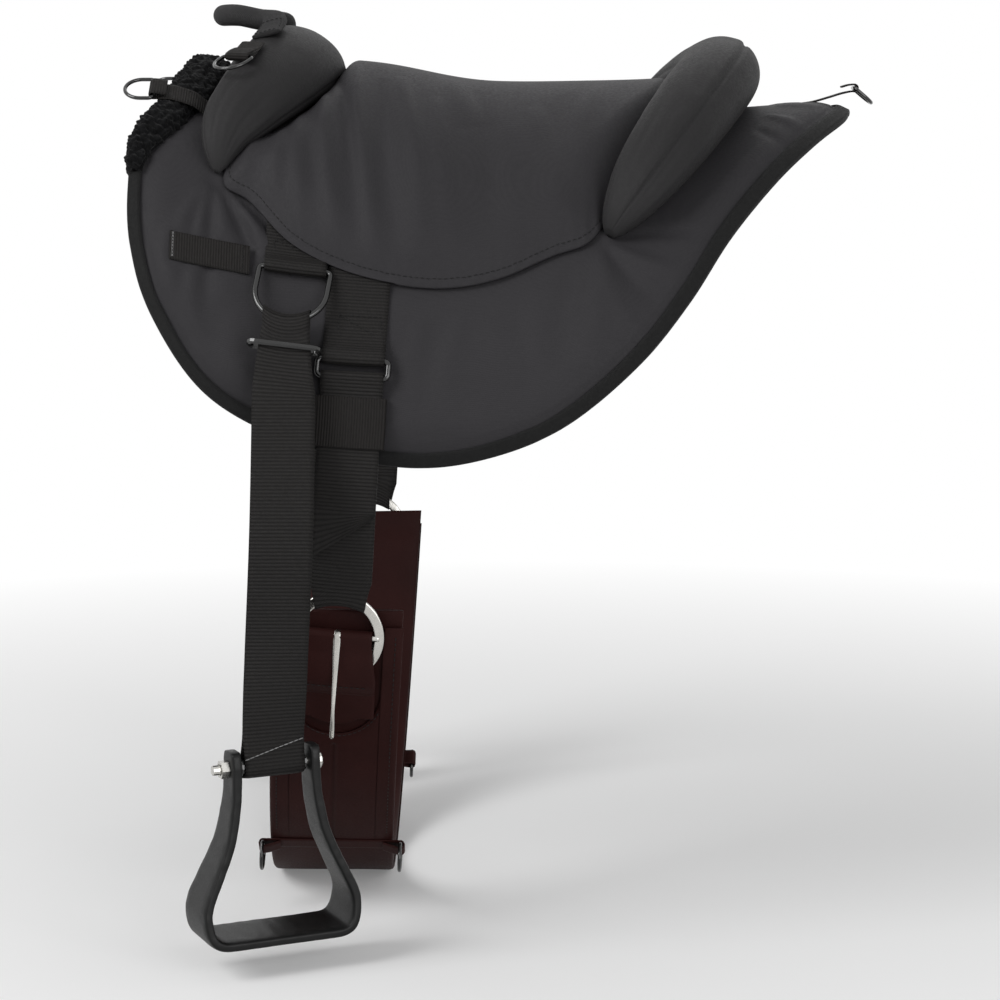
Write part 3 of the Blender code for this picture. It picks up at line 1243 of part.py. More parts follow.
def make_tab(name, side, points, bar, toward, out, across, half):
    """A tape lying along points, then folded round a D-ring's bar; toward and out square to the bar."""
    turns = [math.radians(a) for a in range(-90, 91, 30)]
    fold = [bar + (toward * math.cos(t) + out * math.sin(t)) * SMALL_WRAP for t in turns]
    back = [fold[-1] - toward * along - out * sunk for along, sunk in TAB_BACK]
    solid(name, sided(side, strip(points + fold + back, across, half, WEBBING)), TAPE)


def make_roll_tab(side):
    """Tape on the front of the roll with a D-ring that hangs down the roll."""
    angle = ROLL_TAB_ANGLE
    spots = [FRONT_ROLL.surface(-d, angle, CLEARANCE + WEBBING / 2)
             for d in (ROLL_TAB_DROP - station for station in ROLL_TAB_STATIONS)]
    across = FRONT_ROLL.surface(-ROLL_TAB_DROP, angle - ROLL_TAB_TURN)[0]
    across = across - FRONT_ROLL.surface(-ROLL_TAB_DROP, angle + ROLL_TAB_TURN)[0]
    across.normalize()
    toward = (spots[-1][0] - spots[-2][0]).normalized()
    toward = (toward - across * toward.dot(across)).normalized()
    out = toward.cross(across).normalized()
    if out.dot(spots[-1][1]) < 0:
        out = -out
    bar = spots[-1][0] + out * SMALL_WRAP
    make_tab("roll_tab_" + side, side, [s[0] for s in spots[:-1]], bar, toward, out, across,
             TAPE_WIDTH / 2)
    make_small_ring("roll_dring_" + side, side, tilted((bar, across, toward, out), ROLL_RING_TILT),
                    SMALL_RING_HALF_WIDTH + SMALL_WIRE, SMALL_RING_LENGTH)


def make_front_tab(side):
    """Tape from the front roll's foot over the fleece collar, with a D-ring at the front."""
    spots = [on_barrel(FRONT_TAB_X - FRONT_TAB_LENGTH * a, -FRONT_TAB_DROP, LYING + FRONT_TAB_RISE * b)
             for a, b in FRONT_TAB_SHARES]
    across = on_barrel(FRONT_TAB_X, -FRONT_TAB_DROP - MM, LYING)
    across = across - on_barrel(FRONT_TAB_X, -FRONT_TAB_DROP, LYING)
    toward = Vector((-1, 0, 0))
    origin, across, toward, out = square_frame(spots[-1], across.normalized(), toward)
    out = -out if out.z < 0 else out
    bar = spots[-1] + toward * TAB_TO_BAR + out * SMALL_WRAP
    make_tab("front_tab_" + side, side, spots, bar, toward, out, across, TAPE_WIDTH / 2 - SMALL_WIRE)
    frame = (bar, across, toward, out)
    make_small_ring("front_dring_" + side, side, frame, SMALL_RING_HALF_WIDTH, SMALL_RING_LENGTH)


def make_rear_tab():
    """Tape that stands off the tail tip, with a small D-ring hanging behind it."""
    spots = [on_barrel(PAD_HALF_LENGTH - REAR_TAB_LENGTH * a, 0, LYING + REAR_TAB_RISE * b)
             for a, b in ((1.0, 0), (0.7, 0.1), (0.4, 0.35), (0.15, 0.75), (-0.05, 1.0))]
    bar = spots[-1] + Vector((TAB_TO_BAR, 0, SMALL_WRAP))
    across, toward, out = Vector((0, 1, 0)), Vector((1, 0, 0)), Vector((0, 0, 1))
    make_tab("rear_tab", "left", spots, bar, toward, out, across, TINY_RING_HALF_WIDTH - 2 * SMALL_WIRE)
    make_small_ring("rear_dring", "left", tilted((bar, across, toward, out), -REAR_RING_HANG),
                    TINY_RING_HALF_WIDTH, TINY_RING_LENGTH)


def make_flap_keeper(side):
    """Webbing patch sewn level on the flap in front of the D-ring."""
    path = [(FLAP_KEEPER_X + FLAP_KEEPER_LENGTH * (k / 3 - 0.5), -FLAP_KEEPER_DROP) for k in range(4)]
    half = TAPE_WIDTH / 2
    section = [(-half, STRAP_LIFT), (0, STRAP_LIFT), (half, STRAP_LIFT), (half, STRAP_LIFT + WEBBING),
               (0, STRAP_LIFT + WEBBING), (-half, STRAP_LIFT + WEBBING)]
    solid("flap_keeper_" + side, sided(side, drape(path, [section] * 4)), TAPE)


make_pad()
make_binding()
make_roll("front_roll", FRONT_ROLL)
make_roll("rear_roll", REAR_ROLL)
make_seat()
make_collar()
make_hanger()
make_billet()
for hand in ("left", "right"):
    make_girth_slide(hand)
    make_girth_strap(hand)
    make_keeper(hand)
    make_ring(hand)
    make_tongue(hand)
    make_chape(hand)
    make_girth_rings(hand)
make_girth()
for hand in ("left", "right"):
    make_stirrup_side(hand)
    make_roll_tab(hand)
    make_front_tab(hand)
    make_flap_keeper(hand)
make_rear_tab()
make_handle()
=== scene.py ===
# %% [markdown]
# # A bareback pad, built piece by piece
# This lesson rebuilds a padded bareback pad as it lies on a rounded back: a woven cover over fleece,
# two bolsters, webbing straps, a soft girth and two stirrups. The joints and the smallest fittings come
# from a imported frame; all that shows of cloth, webbing, wire and plastic is a numpy surface made here.

# %% Load the frame
import json
import math
import bmesh
import bpy
import numpy as np
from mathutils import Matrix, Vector

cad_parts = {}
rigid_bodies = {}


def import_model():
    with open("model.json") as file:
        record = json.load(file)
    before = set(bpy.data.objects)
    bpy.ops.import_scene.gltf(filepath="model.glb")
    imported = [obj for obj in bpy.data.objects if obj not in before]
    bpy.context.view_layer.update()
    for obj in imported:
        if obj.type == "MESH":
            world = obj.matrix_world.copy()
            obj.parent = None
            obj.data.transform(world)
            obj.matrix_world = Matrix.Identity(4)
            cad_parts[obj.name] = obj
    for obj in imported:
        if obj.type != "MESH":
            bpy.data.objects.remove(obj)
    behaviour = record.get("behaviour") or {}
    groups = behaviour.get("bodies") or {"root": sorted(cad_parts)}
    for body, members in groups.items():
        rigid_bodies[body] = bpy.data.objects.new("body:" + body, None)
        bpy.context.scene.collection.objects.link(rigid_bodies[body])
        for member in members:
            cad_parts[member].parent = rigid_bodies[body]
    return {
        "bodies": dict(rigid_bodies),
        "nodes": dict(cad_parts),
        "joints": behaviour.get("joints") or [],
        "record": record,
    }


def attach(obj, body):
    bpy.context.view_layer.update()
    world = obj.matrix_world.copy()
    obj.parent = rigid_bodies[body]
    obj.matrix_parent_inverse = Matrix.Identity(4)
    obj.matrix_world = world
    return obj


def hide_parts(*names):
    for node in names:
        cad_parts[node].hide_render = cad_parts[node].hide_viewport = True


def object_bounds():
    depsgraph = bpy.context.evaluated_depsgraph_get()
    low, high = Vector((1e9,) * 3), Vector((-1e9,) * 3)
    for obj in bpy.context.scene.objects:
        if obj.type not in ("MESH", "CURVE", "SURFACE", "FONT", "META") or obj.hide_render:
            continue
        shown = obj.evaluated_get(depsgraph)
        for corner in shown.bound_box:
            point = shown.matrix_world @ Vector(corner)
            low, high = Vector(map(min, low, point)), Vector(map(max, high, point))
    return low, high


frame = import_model()
cad_box = [list(map(float, corner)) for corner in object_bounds()]
print("frame box", cad_box)

# %% [markdown]
# ## The back that everything lies on
# Most pieces follow one rounded form, so each point is given by three numbers: how far along the back,
# how far down from the spine measured over the surface, and how high above it. A table turns the
# measured drop into an angle, once for the whole lesson. Working this way keeps cloth lengths true.

# %% The barrel as a function
BARREL_HALF, FLARE, UP, DOWN = 0.265, 0.030, 0.330, 0.310
WITHERS, CROUP, HALF_LENGTH, PAD_DROP = 0.057, 0.015, 0.303, 0.413


def section_point(x, angle, lift):
    """Half an ellipse above the widest line and half below it: Y goes with the sine, Z with the cosine."""
    rise = np.where(x < 0, WITHERS, CROUP) * (x / HALF_LENGTH) ** 2
    height = np.where(np.cos(angle) > 0, UP + rise, DOWN)
    wide = BARREL_HALF + FLARE * x / HALF_LENGTH
    return (wide + lift) * np.sin(angle), (height + lift) * np.cos(angle) - UP


def cut(v):
    """The value held between 0 and 1."""
    return np.clip(v, 0, 1)


def bell(v):
    """A bell curve that is 1 at zero."""
    return np.exp(-0.5 * v ** 2)


def around(count):
    """Angles at even steps round a circle."""
    return np.linspace(0, 2 * math.pi, count + 1)[:-1]


def squared(v, power):
    """The size raised to a power, the sign kept: it turns a circle into a rounded square."""
    return np.sign(v) * np.abs(v) ** power


def unit(v):
    return v / np.linalg.norm(v, axis=-1, keepdims=True)


def eased(v):
    """A share from 0 to 1 that starts and ends gently."""
    return v * v * (3 - 2 * v)


def square_to(v, axis):
    """The direction v turned so that it stands square to an axis."""
    return unit(v - axis * (v * axis).sum())


def from_ends(count):
    """How many steps each place in a row is from its nearer end."""
    return np.minimum(np.arange(count), np.arange(count)[::-1])


def mirrored(points):
    """The pairs in reverse order, on the far side of zero."""
    return [[-a, b] for a, b in reversed(points)]


def run_of(line):
    """Running length along a line of points."""
    return np.concatenate(([0], np.cumsum(np.linalg.norm(np.diff(line, axis=0), axis=1))))


XS = np.linspace(-0.36, 0.36, 145)
DROPS = np.linspace(0, 1.0, 801)
TURNS = np.linspace(0, math.pi, 721)
TABLE = []
for x in XS:
    length = run_of(np.stack(section_point(x, TURNS, 0.016), -1))
    TABLE.append(np.interp(DROPS, length, TURNS))
TABLE = np.array(TABLE)


def angle_of(x, drop):
    """The table read between its entries, along x and along the drop at once."""
    a = np.clip((x - XS[0]) / (XS[1] - XS[0]), 0, len(XS) - 1.001)
    b = np.clip(np.abs(drop) / DROPS[1], 0, len(DROPS) - 1.001)
    i, j = a.astype(int), b.astype(int)
    a, b = a - i, b - j
    low = TABLE[i, j] * (1 - b) + TABLE[i, j + 1] * b
    high = TABLE[i + 1, j] * (1 - b) + TABLE[i + 1, j + 1] * b
    return (low * (1 - a) + high * a) * np.sign(drop)


def on(x, drop, lift):
    """Point at x along the back, drop over the surface (negative on the near side) and lift above it."""
    x, drop, lift = np.broadcast_arrays(*(np.asarray(v, float) for v in (x, drop, lift)))
    y, z = section_point(x, angle_of(x, drop), lift)
    return np.stack((x, y, z), -1)


def through(points, count):
    """A smooth curve through points: the Catmull-Rom cubic between each two, cut again at even lengths."""
    p = np.array(points, float)
    q = np.vstack((2 * p[0] - p[1], p, 2 * p[-1] - p[-2]))
    t = np.linspace(0, 1, 24, endpoint=False)[None, :, None]
    a, b, c, d = (q[k:len(q) - 3 + k, None, :] for k in range(4))
    fine = 0.5 * (2 * b + (c - a) * t + (2 * a - 5 * b + 4 * c - d) * t ** 2
                  + (3 * b - a - 3 * c + d) * t ** 3)
    return evenly(np.vstack((fine.reshape(-1, p.shape[1]), p[-1:])), count)


def evenly(fine, count, closed=False):
    """The same line cut at even lengths."""
    length = run_of(fine)
    wanted = np.linspace(0, length[-1], count + 1 if closed else count)[:count]
    return np.stack([np.interp(wanted, length, fine[:, k]) for k in range(fine.shape[1])], -1)


print("spine at the withers", on(-0.3, 0.0, 0.0).round(3))

# %% [markdown]
# ## From a grid of points to a closed piece
# A piece is a grid of points: rows along it and columns round it. Three helpers turn grids into closed
# meshes: a tube, a sheet with a thickness, and a disc built in rings. Each also writes a UV map in
# metres, so a woven pattern keeps one size on every strap. Merging doubled points and recalculating the
# normals closes the poles and turns every face outwards.

# %% Mesh helpers
PIECES, EDGE = {}, 0.07
SLOTS = {"charcoal_polyester_painted_shade": "charcoal_polyester", **dict.fromkeys(
    ("binding_tape", "thread", "pale_thread_and_highlight", "black_webbing_fine", "handle_braid"), "black_webbing")}


def make(name, points, faces, uvs, material, nodes="", body="pad", slot=None):
    """An object from point and face arrays; uvs holds one pair for each point."""
    mesh = bpy.data.meshes.new(name)
    mesh.from_pydata(points.reshape(-1, 3).tolist(), [], faces)
    layer = mesh.uv_layers.new(name="UVMap")
    index = np.empty(len(mesh.loops), int)
    mesh.loops.foreach_get("vertex_index", index)
    layer.data.foreach_set("uv", uvs.reshape(-1, 2)[index].ravel())
    work = bmesh.new()
    work.from_mesh(mesh)
    bmesh.ops.remove_doubles(work, verts=work.verts, dist=1e-6)
    bmesh.ops.dissolve_degenerate(work, edges=work.edges, dist=1e-7)
    bmesh.ops.recalc_face_normals(work, faces=work.faces)
    if work.calc_volume(signed=True) < 0:
        bmesh.ops.reverse_faces(work, faces=work.faces)
    work.to_mesh(mesh)
    work.free()
    mesh.materials.append(material)
    mesh.shade_smooth()
    obj = bpy.data.objects.new(name, mesh)
    bpy.context.scene.collection.objects.link(obj)
    look, nodes = material.name.split(".")[0], nodes.split()
    slot = slot or SLOTS.get(look, look)
    if nodes:
        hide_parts(*nodes)
    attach(obj, body)
    PIECES[name] = obj
    return obj


def quads(rows, columns, wrap_rows=False, wrap_columns=False):
    """Index quadruples of a grid, its last row or column joined to the first where it wraps."""
    i = np.arange(rows if wrap_rows else rows - 1)[:, None]
    j = np.arange(columns if wrap_columns else columns - 1)[None, :]
    i2, j2 = (i + 1) % rows, (j + 1) % columns
    found = np.stack((i * columns + j, i * columns + j2, i2 * columns + j2, i2 * columns + j), -1)
    return found.reshape(-1, 4).tolist()


def sheet_faces(rows, columns, ring=False):
    """Faces of a sheet whose rows hold one side and then the other, closed at both ends."""
    k = np.arange(columns // 2 - 1)
    end = np.stack((k, k + 1, columns - 2 - k, columns - 1 - k), -1)
    ends = [] if ring else end.tolist() + (end + (rows - 1) * columns).tolist()
    return quads(rows, columns, ring, True) + ends


def lengths(grid, axis):
    """Running length along one axis of a grid of points."""
    steps = np.linalg.norm(np.diff(grid, axis=axis), axis=-1)
    first = np.zeros_like(np.take(steps, [0], axis=axis))
    return np.concatenate((first, np.cumsum(steps, axis=axis)), axis=axis)


def tube(name, grid, material, nodes="", body="pad", ring=False):
    """A closed skin round a path: columns wrap, and rows wrap too or end in flat fans."""
    rows, columns = grid.shape[:2]
    faces = quads(rows, columns, ring, True)
    uv = np.stack((lengths(grid, 1), lengths(grid, 0)), -1)
    points, uvs = grid.reshape(-1, 3), uv.reshape(-1, 2)
    for row, turn in () if ring else ((0, 1), (rows - 1, -1)):
        middle = len(points)
        points = np.vstack((points, grid[row].mean(axis=0)))
        uvs = np.vstack((uvs, uv[row].mean(axis=0)))
        loop = (np.arange(columns) + row * columns)[::turn]
        faces += np.stack((loop, np.roll(loop, -1), np.full(columns, middle)), -1).tolist()
    return make(name, points, faces, uvs, material, nodes, body)


def across_normals(grid, ring=False):
    """The unit direction out of a grid at each point, from the steps along its rows and its columns."""
    along = np.roll(grid, -1, axis=0) - np.roll(grid, 1, axis=0) if ring else np.gradient(grid, axis=0)
    out = np.cross(along, np.gradient(grid, axis=1))
    return out / np.maximum(np.linalg.norm(out, axis=-1, keepdims=True), 1e-12)


def webbing(name, grid, material, nodes, body="pad", slot=None, thickness=0.0015, ring=False):
    """A sheet with a thickness: each point of the middle surface goes out by half of it on both sides,
    and less towards the two long edges, as the root of one minus the square of the share across."""
    share = np.linspace(-1, 1, grid.shape[1])
    full = np.sqrt(np.clip(1 - cut((np.abs(share) - 1 + EDGE) / EDGE) ** 2, 0.16, 1))
    offset = across_normals(grid, ring) * (full * thickness / 2)[None, :, None]
    loop = np.concatenate((grid + offset, (grid - offset)[:, ::-1]), axis=1)
    wide = lengths(grid, 1)
    uv_across = np.concatenate((wide, wide[:, ::-1]), axis=1)
    run = run_of(grid[:, grid.shape[1] // 2])
    uv = np.stack((uv_across, np.repeat(run[:, None], loop.shape[1], 1)), -1)
    return make(name, loop, sheet_faces(*loop.shape[:2], ring), uv, material, nodes, body, slot)


def both_sides(build):
    """Calls build for the near side and for the far side, whose points are mirrored in Y."""
    for side, flip in (("left", np.array([1.0, 1.0, 1.0])), ("right", np.array([1.0, -1.0, 1.0]))):
        build(side, flip)
    return build

# %% [markdown]
# ## Noise that is the same every time
# Fleece curls and soft unevenness come from two noise functions. Both hash the corners of a lattice of
# cells, so nothing random is left: the same point always gets the same value.

# %% Noise
def hashed(cell, seed):
    """A value from 0 to 1 for each whole-number cell: the fraction of a large sine."""
    value = np.sin(cell @ np.array([127.1, 311.7, 74.7]) + seed * 17.3) * 43758.5453
    return value - np.floor(value)


def clouds(p, size, seed=0):
    """Smooth noise from -1 to 1: values at the corners of cells, eased and mixed in three directions."""
    q = p / size
    cell = np.floor(q)
    t = q - cell
    t = eased(t)
    total = 0
    for corner in np.ndindex(2, 2, 2):
        weight = np.prod(np.where(np.array(corner) == 1, t, 1 - t), axis=-1)
        total = total + weight * hashed(cell + np.array(corner), seed)
    return total * 2 - 1


def curls(p, size, seed=0):
    """Round tufts: one minus the distance to the nearest of the points scattered one in each cell."""
    q = p / size
    cell = np.floor(q)
    best = np.full(p.shape[:-1], 9.0)
    for corner in np.ndindex(3, 3, 3):
        at = cell + np.array(corner) - 1
        spot = at + np.stack([hashed(at, seed + k) for k in (1, 2, 3)], -1)
        best = np.minimum(best, np.linalg.norm(q - spot, axis=-1))
    return 1 - np.minimum(best, 1)


print("noise ready", float(clouds(np.zeros((1, 3)), 1.0)[0]))

# %% [markdown]
# ## Materials from shared effects
# Each effect is built once as a node group: a weave, webbing ribs, soft unevenness, and painted highlights
# along edges.
# A group gives only a mask or a height, and every material sets its own size and strength. The weave's and
# the ribs' masks follow their height, so they paint shade into sunk threads and grooves. Patterns on straps
# read the UV map in metres, and the others read object coordinates.

# %% Node groups
def set_sockets(tree, sockets, values):
    """Sets or links sockets, found by name, or by number where the key is i0, i1 and so on."""
    for key, value in values.items():
        socket = sockets[int(key[1:]) if key[0] == "i" and key[1:].isdigit() else key]
        if isinstance(value, bpy.types.NodeSocket):
            tree.links.new(value, socket)
        else:
            socket.default_value = value


def node(tree, kind, operation=None, **values):
    """A new node with some of its sockets filled."""
    made = tree.nodes.new(kind)
    if operation:
        made.operation = operation
    set_sockets(tree, made.inputs, values)
    return made


def maths(tree):
    """A function that adds a math node to a tree and returns its output."""
    return lambda operation, a, b=0.0, c=0.0: node(
        tree, "ShaderNodeMath", operation, i0=a, i1=b, i2=c).outputs[0]


def noise(tree, vector, scale, detail):
    return node(tree, "ShaderNodeTexNoise", Vector=vector, Scale=scale, Detail=detail).outputs[0]


def group(name, outputs, **inputs):
    """A node group with a vector and floats as inputs and floats as outputs: its tree, its inputs, a
    function that sets its outputs, and its math function."""
    tree = bpy.data.node_groups.new(name, "ShaderNodeTree")
    tree.interface.new_socket(name="Vector", in_out="INPUT", socket_type="NodeSocketVector")
    for label, value in inputs.items():
        tree.interface.new_socket(name=label, in_out="INPUT",
                                  socket_type="NodeSocketFloat").default_value = value
    for label in outputs:
        tree.interface.new_socket(name=label, in_out="OUTPUT", socket_type="NodeSocketFloat")
    given, end = tree.nodes.new("NodeGroupInput").outputs, tree.nodes.new("NodeGroupOutput").inputs
    return tree, given, lambda **values: set_sockets(tree, end, values), maths(tree)


def weave_group():
    """Two sets of bands at right angles, one lifted where the other sinks, as in a plain cloth; the mask
    follows the height, so sunk threads get painted shade.
    """
    tree, given, give, m = group("weave", ("Height", "Mask"), Period=0.001, Wander=0.5)
    rate = m("DIVIDE", 2 * math.pi, given["Period"])
    bend = m("MULTIPLY", noise(tree, given["Vector"], 60.0, 2.0), given["Wander"])
    place = node(tree, "ShaderNodeSeparateXYZ", Vector=given["Vector"]).outputs
    a, b, c = (m("SINE", m("MULTIPLY_ADD", place[k], rate, bend)) for k in range(3))
    both = m("ADD", m("MULTIPLY", a, c), m("MULTIPLY", b, c))
    give(Height=both, Mask=m("MULTIPLY_ADD", both, 0.25, 0.5))
    return tree


def ribs_group():
    """Rounded ribs along V with a finer set of threads along U, from the strap's own UV map; the mask is
    the ribs' height, so the grooves get painted shade.
    """
    tree, given, give, m = group("webbing_ribs", ("Height", "Mask"), Pitch=0.0029, Thread=0.0012)
    place = node(tree, "ShaderNodeSeparateXYZ", Vector=given["Vector"]).outputs
    phase = m("MULTIPLY", place[1], m("DIVIDE", 2 * math.pi, given["Pitch"]))
    thread = m("SINE", m("MULTIPLY_ADD", place[0], m("DIVIDE", 2 * math.pi, given["Thread"]), phase))
    rounded = m("POWER", m("MULTIPLY_ADD", m("SINE", phase), 0.5, 0.5), 0.6)
    give(Height=m("MULTIPLY_ADD", thread, 0.18, rounded), Mask=rounded)
    return tree


def uneven_group():
    """Two sizes of noise: broad clouds for faded colour and fine grain for the surface."""
    tree, given, give, _ = group("uneven", ("Broad", "Fine"), Broad=8.0, Fine=400.0)
    vector = given["Vector"]
    give(Broad=noise(tree, vector, given["Broad"], 3.0), Fine=noise(tree, vector, given["Fine"], 4.0))
    return tree


def edge_highlight_group():
    """A mask that is high where the surface bends outwards sharply, broken up by noise: it paints
    highlights along edges.
    """
    tree, given, give, m = group("edge_wear", ("Mask",), Sharpness=6.0)
    bend = node(tree, "ShaderNodeNewGeometry").outputs["Pointiness"]
    high = m("MULTIPLY", m("SUBTRACT", bend, 0.53), given["Sharpness"])
    mask = m("MULTIPLY", high, noise(tree, given["Vector"], 220.0, 3.0))
    mask.node.use_clamp = True
    give(Mask=mask)
    return tree


WEAVE, RIBS, UNEVEN, EDGE_HIGHLIGHT = weave_group(), ribs_group(), uneven_group(), edge_highlight_group()
print("node groups", [g.name for g in bpy.data.node_groups])

# %% [markdown]
# A material is the Principled shader with a dark and a light colour mixed by a mask. One function makes
# them all: it places the groups it is asked for and joins their heights into one bump.

# %% Materials
def material(name, dark, light, roughness, metallic=0.0, pattern=None, pitch=0.001, depth=0.0002,
             broad=9.0, fade=0.35, grain=0.00005, wear=0.0, highlight_colour=(0.3, 0.3, 0.3), sheen=0.0, coat=0.0,
             fine=420.0, thread=0.0012, rough_spread=0.08, gloss=0.18):
    """Colour runs from dark to light with the broad clouds and the pattern's mask, which paints shade into
    sunk threads and grooves; sharp edges add a third colour as painted highlights.
    """
    mat = bpy.data.materials.new(name)
    mat.use_nodes = True
    tree = mat.node_tree
    m, place = maths(tree), node(tree, "ShaderNodeTexCoord").outputs

    def effect(shared, at="Object", **values):
        made = node(tree, "ShaderNodeGroup")
        made.node_tree = shared
        set_sockets(tree, made.inputs, {"Vector": place[at], **values})
        return made.outputs

    def blend(share, low, high):
        made = node(tree, "ShaderNodeMix")
        made.data_type = "RGBA"
        set_sockets(tree, made.inputs, {"Factor": share, "i6": low, "i7": high})
        return made.outputs[2]

    def spread(source, middle, half):
        low, high = middle - half, middle + half
        return node(tree, "ShaderNodeMapRange", i0=source, i1=0.3, i2=0.7, i3=low, i4=high).outputs[0]

    uneven = effect(UNEVEN, Broad=broad, Fine=fine)
    mask, height = spread(uneven["Broad"], 0.5, fade), m("MULTIPLY", uneven["Fine"], grain)
    if pattern:
        ribbed = pattern is RIBS
        woven = effect(RIBS, "UV", Pitch=pitch, Thread=thread) if ribbed else effect(pattern, Period=pitch)
        height = m("MULTIPLY_ADD", woven["Height"], depth, height)
        mask = m("MULTIPLY", m("ADD", mask, woven["Mask"]), 0.5)
    base = blend(mask, (*dark, 1), (*light, 1))
    # Sharp edges take the lighter highlight colour: painted highlights.
    if wear:
        base = blend(effect(EDGE_HIGHLIGHT, Sharpness=wear)["Mask"], base, (*highlight_colour, 1))
    bump = node(tree, "ShaderNodeBump", Height=height, Strength=1.0, Distance=1.0)
    set_sockets(tree, tree.nodes["Principled BSDF"].inputs, {
        "Base Color": base, "Roughness": spread(uneven["Fine"], roughness, rough_spread),
        "Normal": bump.outputs[0], "Metallic": metallic, "Sheen Weight": sheen,
        "Sheen Roughness": 0.5, "Coat Weight": coat, "Specular IOR Level": gloss})
    return mat


def grey(value):
    return (value, value, value)


# The cloths, the binding, both webbings and the braid carry painted shade in their sunk threads and grooves
# from the weave or the ribs.
CLOTH = material("charcoal_polyester", (0.0235, 0.0225, 0.0245), (0.0345, 0.0332, 0.0358), 0.62,
                 pattern=WEAVE, pitch=0.0011, depth=0.00003, broad=7.0, gloss=0.10)
# The rolls get a darker copy of the cover's charcoal cloth: painted shade on the rolls.
ROLL_CLOTH_SHADED = material("charcoal_polyester_painted_shade", (0.0190, 0.0184, 0.0190), (0.0285, 0.0277, 0.0285), 0.60,
                      pattern=WEAVE, pitch=0.0011, depth=0.00003, gloss=0.10)
BINDING_TAPE = material("binding_tape", (0.0055, 0.0055, 0.0057), (0.0115, 0.0115, 0.0115), 0.72,
                        pattern=RIBS, pitch=0.0016, depth=0.0001, sheen=0.03, gloss=0.12)
WEB = material("black_webbing", (0.0030, 0.0028, 0.0027), (0.0200, 0.0186, 0.0180), 0.62, pattern=RIBS,
               pitch=0.0029, depth=0.00042, fade=0.12, gloss=0.12)
WEB_ACROSS = material("black_webbing_fine", (0.0030, 0.0027, 0.0025), (0.0175, 0.0158, 0.0150), 0.66,
                      pattern=RIBS, pitch=0.0022, depth=0.00036, fade=0.12, gloss=0.12)
BRAID = material("handle_braid", (0.0060, 0.0060, 0.0063), (0.0300, 0.0292, 0.0300), 0.72, pattern=RIBS,
                 pitch=0.0018, thread=0.0018, depth=0.0003, fade=0.15, gloss=0.2)
FLEECE = material("black_fleece", (0.0011, 0.0011, 0.0013), (0.0052, 0.0052, 0.0058), 0.9, broad=110.0,
                  grain=0.0006, fine=900.0, sheen=0.06, gloss=0.1)
THREAD = material("thread", grey(0.006), grey(0.016), 0.6, broad=200.0)
# This pale grey is the keeper's pale cross-stitch, and it also paints the highlight along each stirrup
# strap's fold.
PALE_THREAD_AND_HIGHLIGHT = material("pale_thread_and_highlight", grey(0.16), grey(0.28), 0.6, broad=200.0)
BROWN = material("brown_neoprene", (0.0150, 0.0045, 0.0041), (0.0270, 0.0080, 0.0072), 0.56, broad=14.0,
                 grain=0.00012, fine=700.0, gloss=0.07)
# The black metal, the nickel and the plastic lighten their sharp edges with the edge mask: painted
# highlights.
BLACK_METAL = material("black_metal", grey(0.0035), grey(0.0065), 0.16, wear=1.2, highlight_colour=grey(0.10),
                       coat=0.25, grain=0.000004, broad=60.0, gloss=0.5, rough_spread=0.04)
NICKEL = material("nickel", (0.42, 0.41, 0.385), (0.60, 0.59, 0.56), 0.26, metallic=1.0, broad=50.0,
                  grain=0.000006, wear=2.0, highlight_colour=(0.8, 0.8, 0.78), gloss=0.5, rough_spread=0.04)
PLASTIC = material("black_plastic", grey(0.0035), grey(0.0085), 0.42, broad=45.0, grain=0.00004,
                   fine=900.0, wear=7.0, highlight_colour=grey(0.07), coat=0.03, gloss=0.18)
print("materials", len(bpy.data.materials))

# %% [markdown]
# ## The pad: cover, lining and rim
# The outline is a closed curve of (along, drop) points. Rings of it shrink towards the middle of the
# back, and the distance of each point from the rim gives its height, so the padding thins out to a soft
# edge. Creases are long low ridges added on top: they fan out from the ends of the two rolls, where the
# cloth is gathered.

# %% Pad outline and thickness
OUTLINE = ((-0.81, 0), (-0.835, .13), (-0.90, .27), (-0.985, .40), (-1, .50), (-0.985, .63), (-0.925, .76),
           (-0.78, .895), (-0.55, .965), (-0.28, 1.0), (-0.06, .99), (0.16, .935), (0.36, .82), (0.50, .69),
           (0.61, .55), (0.74, .40), (0.87, .25), (0.965, .12), (1, 0))
HALF = through([(a * HALF_LENGTH, b * PAD_DROP) for a, b in OUTLINE], 260)
RIM = np.vstack((HALF, (HALF * [1, -1])[-2:0:-1]))
CENTRE = np.array([-0.03, 0.0])
EDGE_RUN, PATCH_X, PATCH_DROP, TAB_DROP = 0.034, -0.2345, 0.258, 0.108


def distance_to(line, x, drop):
    """Distance over the surface from each point to the nearest point of a line."""
    p = np.stack(np.broadcast_arrays(x, drop), -1).reshape(-1, 1, 2)
    parts = [np.sqrt(((q - line[None]) ** 2).sum(-1)).min(1)
             for q in np.array_split(p, max(1, len(p) // 4000))]
    return np.concatenate(parts).reshape(np.broadcast(x, drop).shape)


def inset_of(x, drop):
    return distance_to(RIM, x, drop)


def cloth_clouds(x, drop, size, seed):
    """The soft noise over the flat cloth."""
    return clouds(np.stack(np.broadcast_arrays(x, drop, 0 * x), -1), size, seed)


def lining_top(inset):
    """The fleece: 4.6 mm at the rim, growing to 9 mm over 34 mm."""
    return 0.0046 + 0.0044 * cut(inset / EDGE_RUN)


def cover_top(inset):
    """The cover over fleece and foam: 6.4 mm at the rim, rounding up to 16.8 mm over 34 mm."""
    share = cut(inset / EDGE_RUN)
    return 0.0064 + 0.0104 * np.sin(share * math.pi / 2) ** 1.15

# %% [markdown]
# A crease runs from one point to another. Its height falls off sideways like a bell curve and fades at
# both ends, and a bend pushes its middle sideways so that none of them is quite straight.

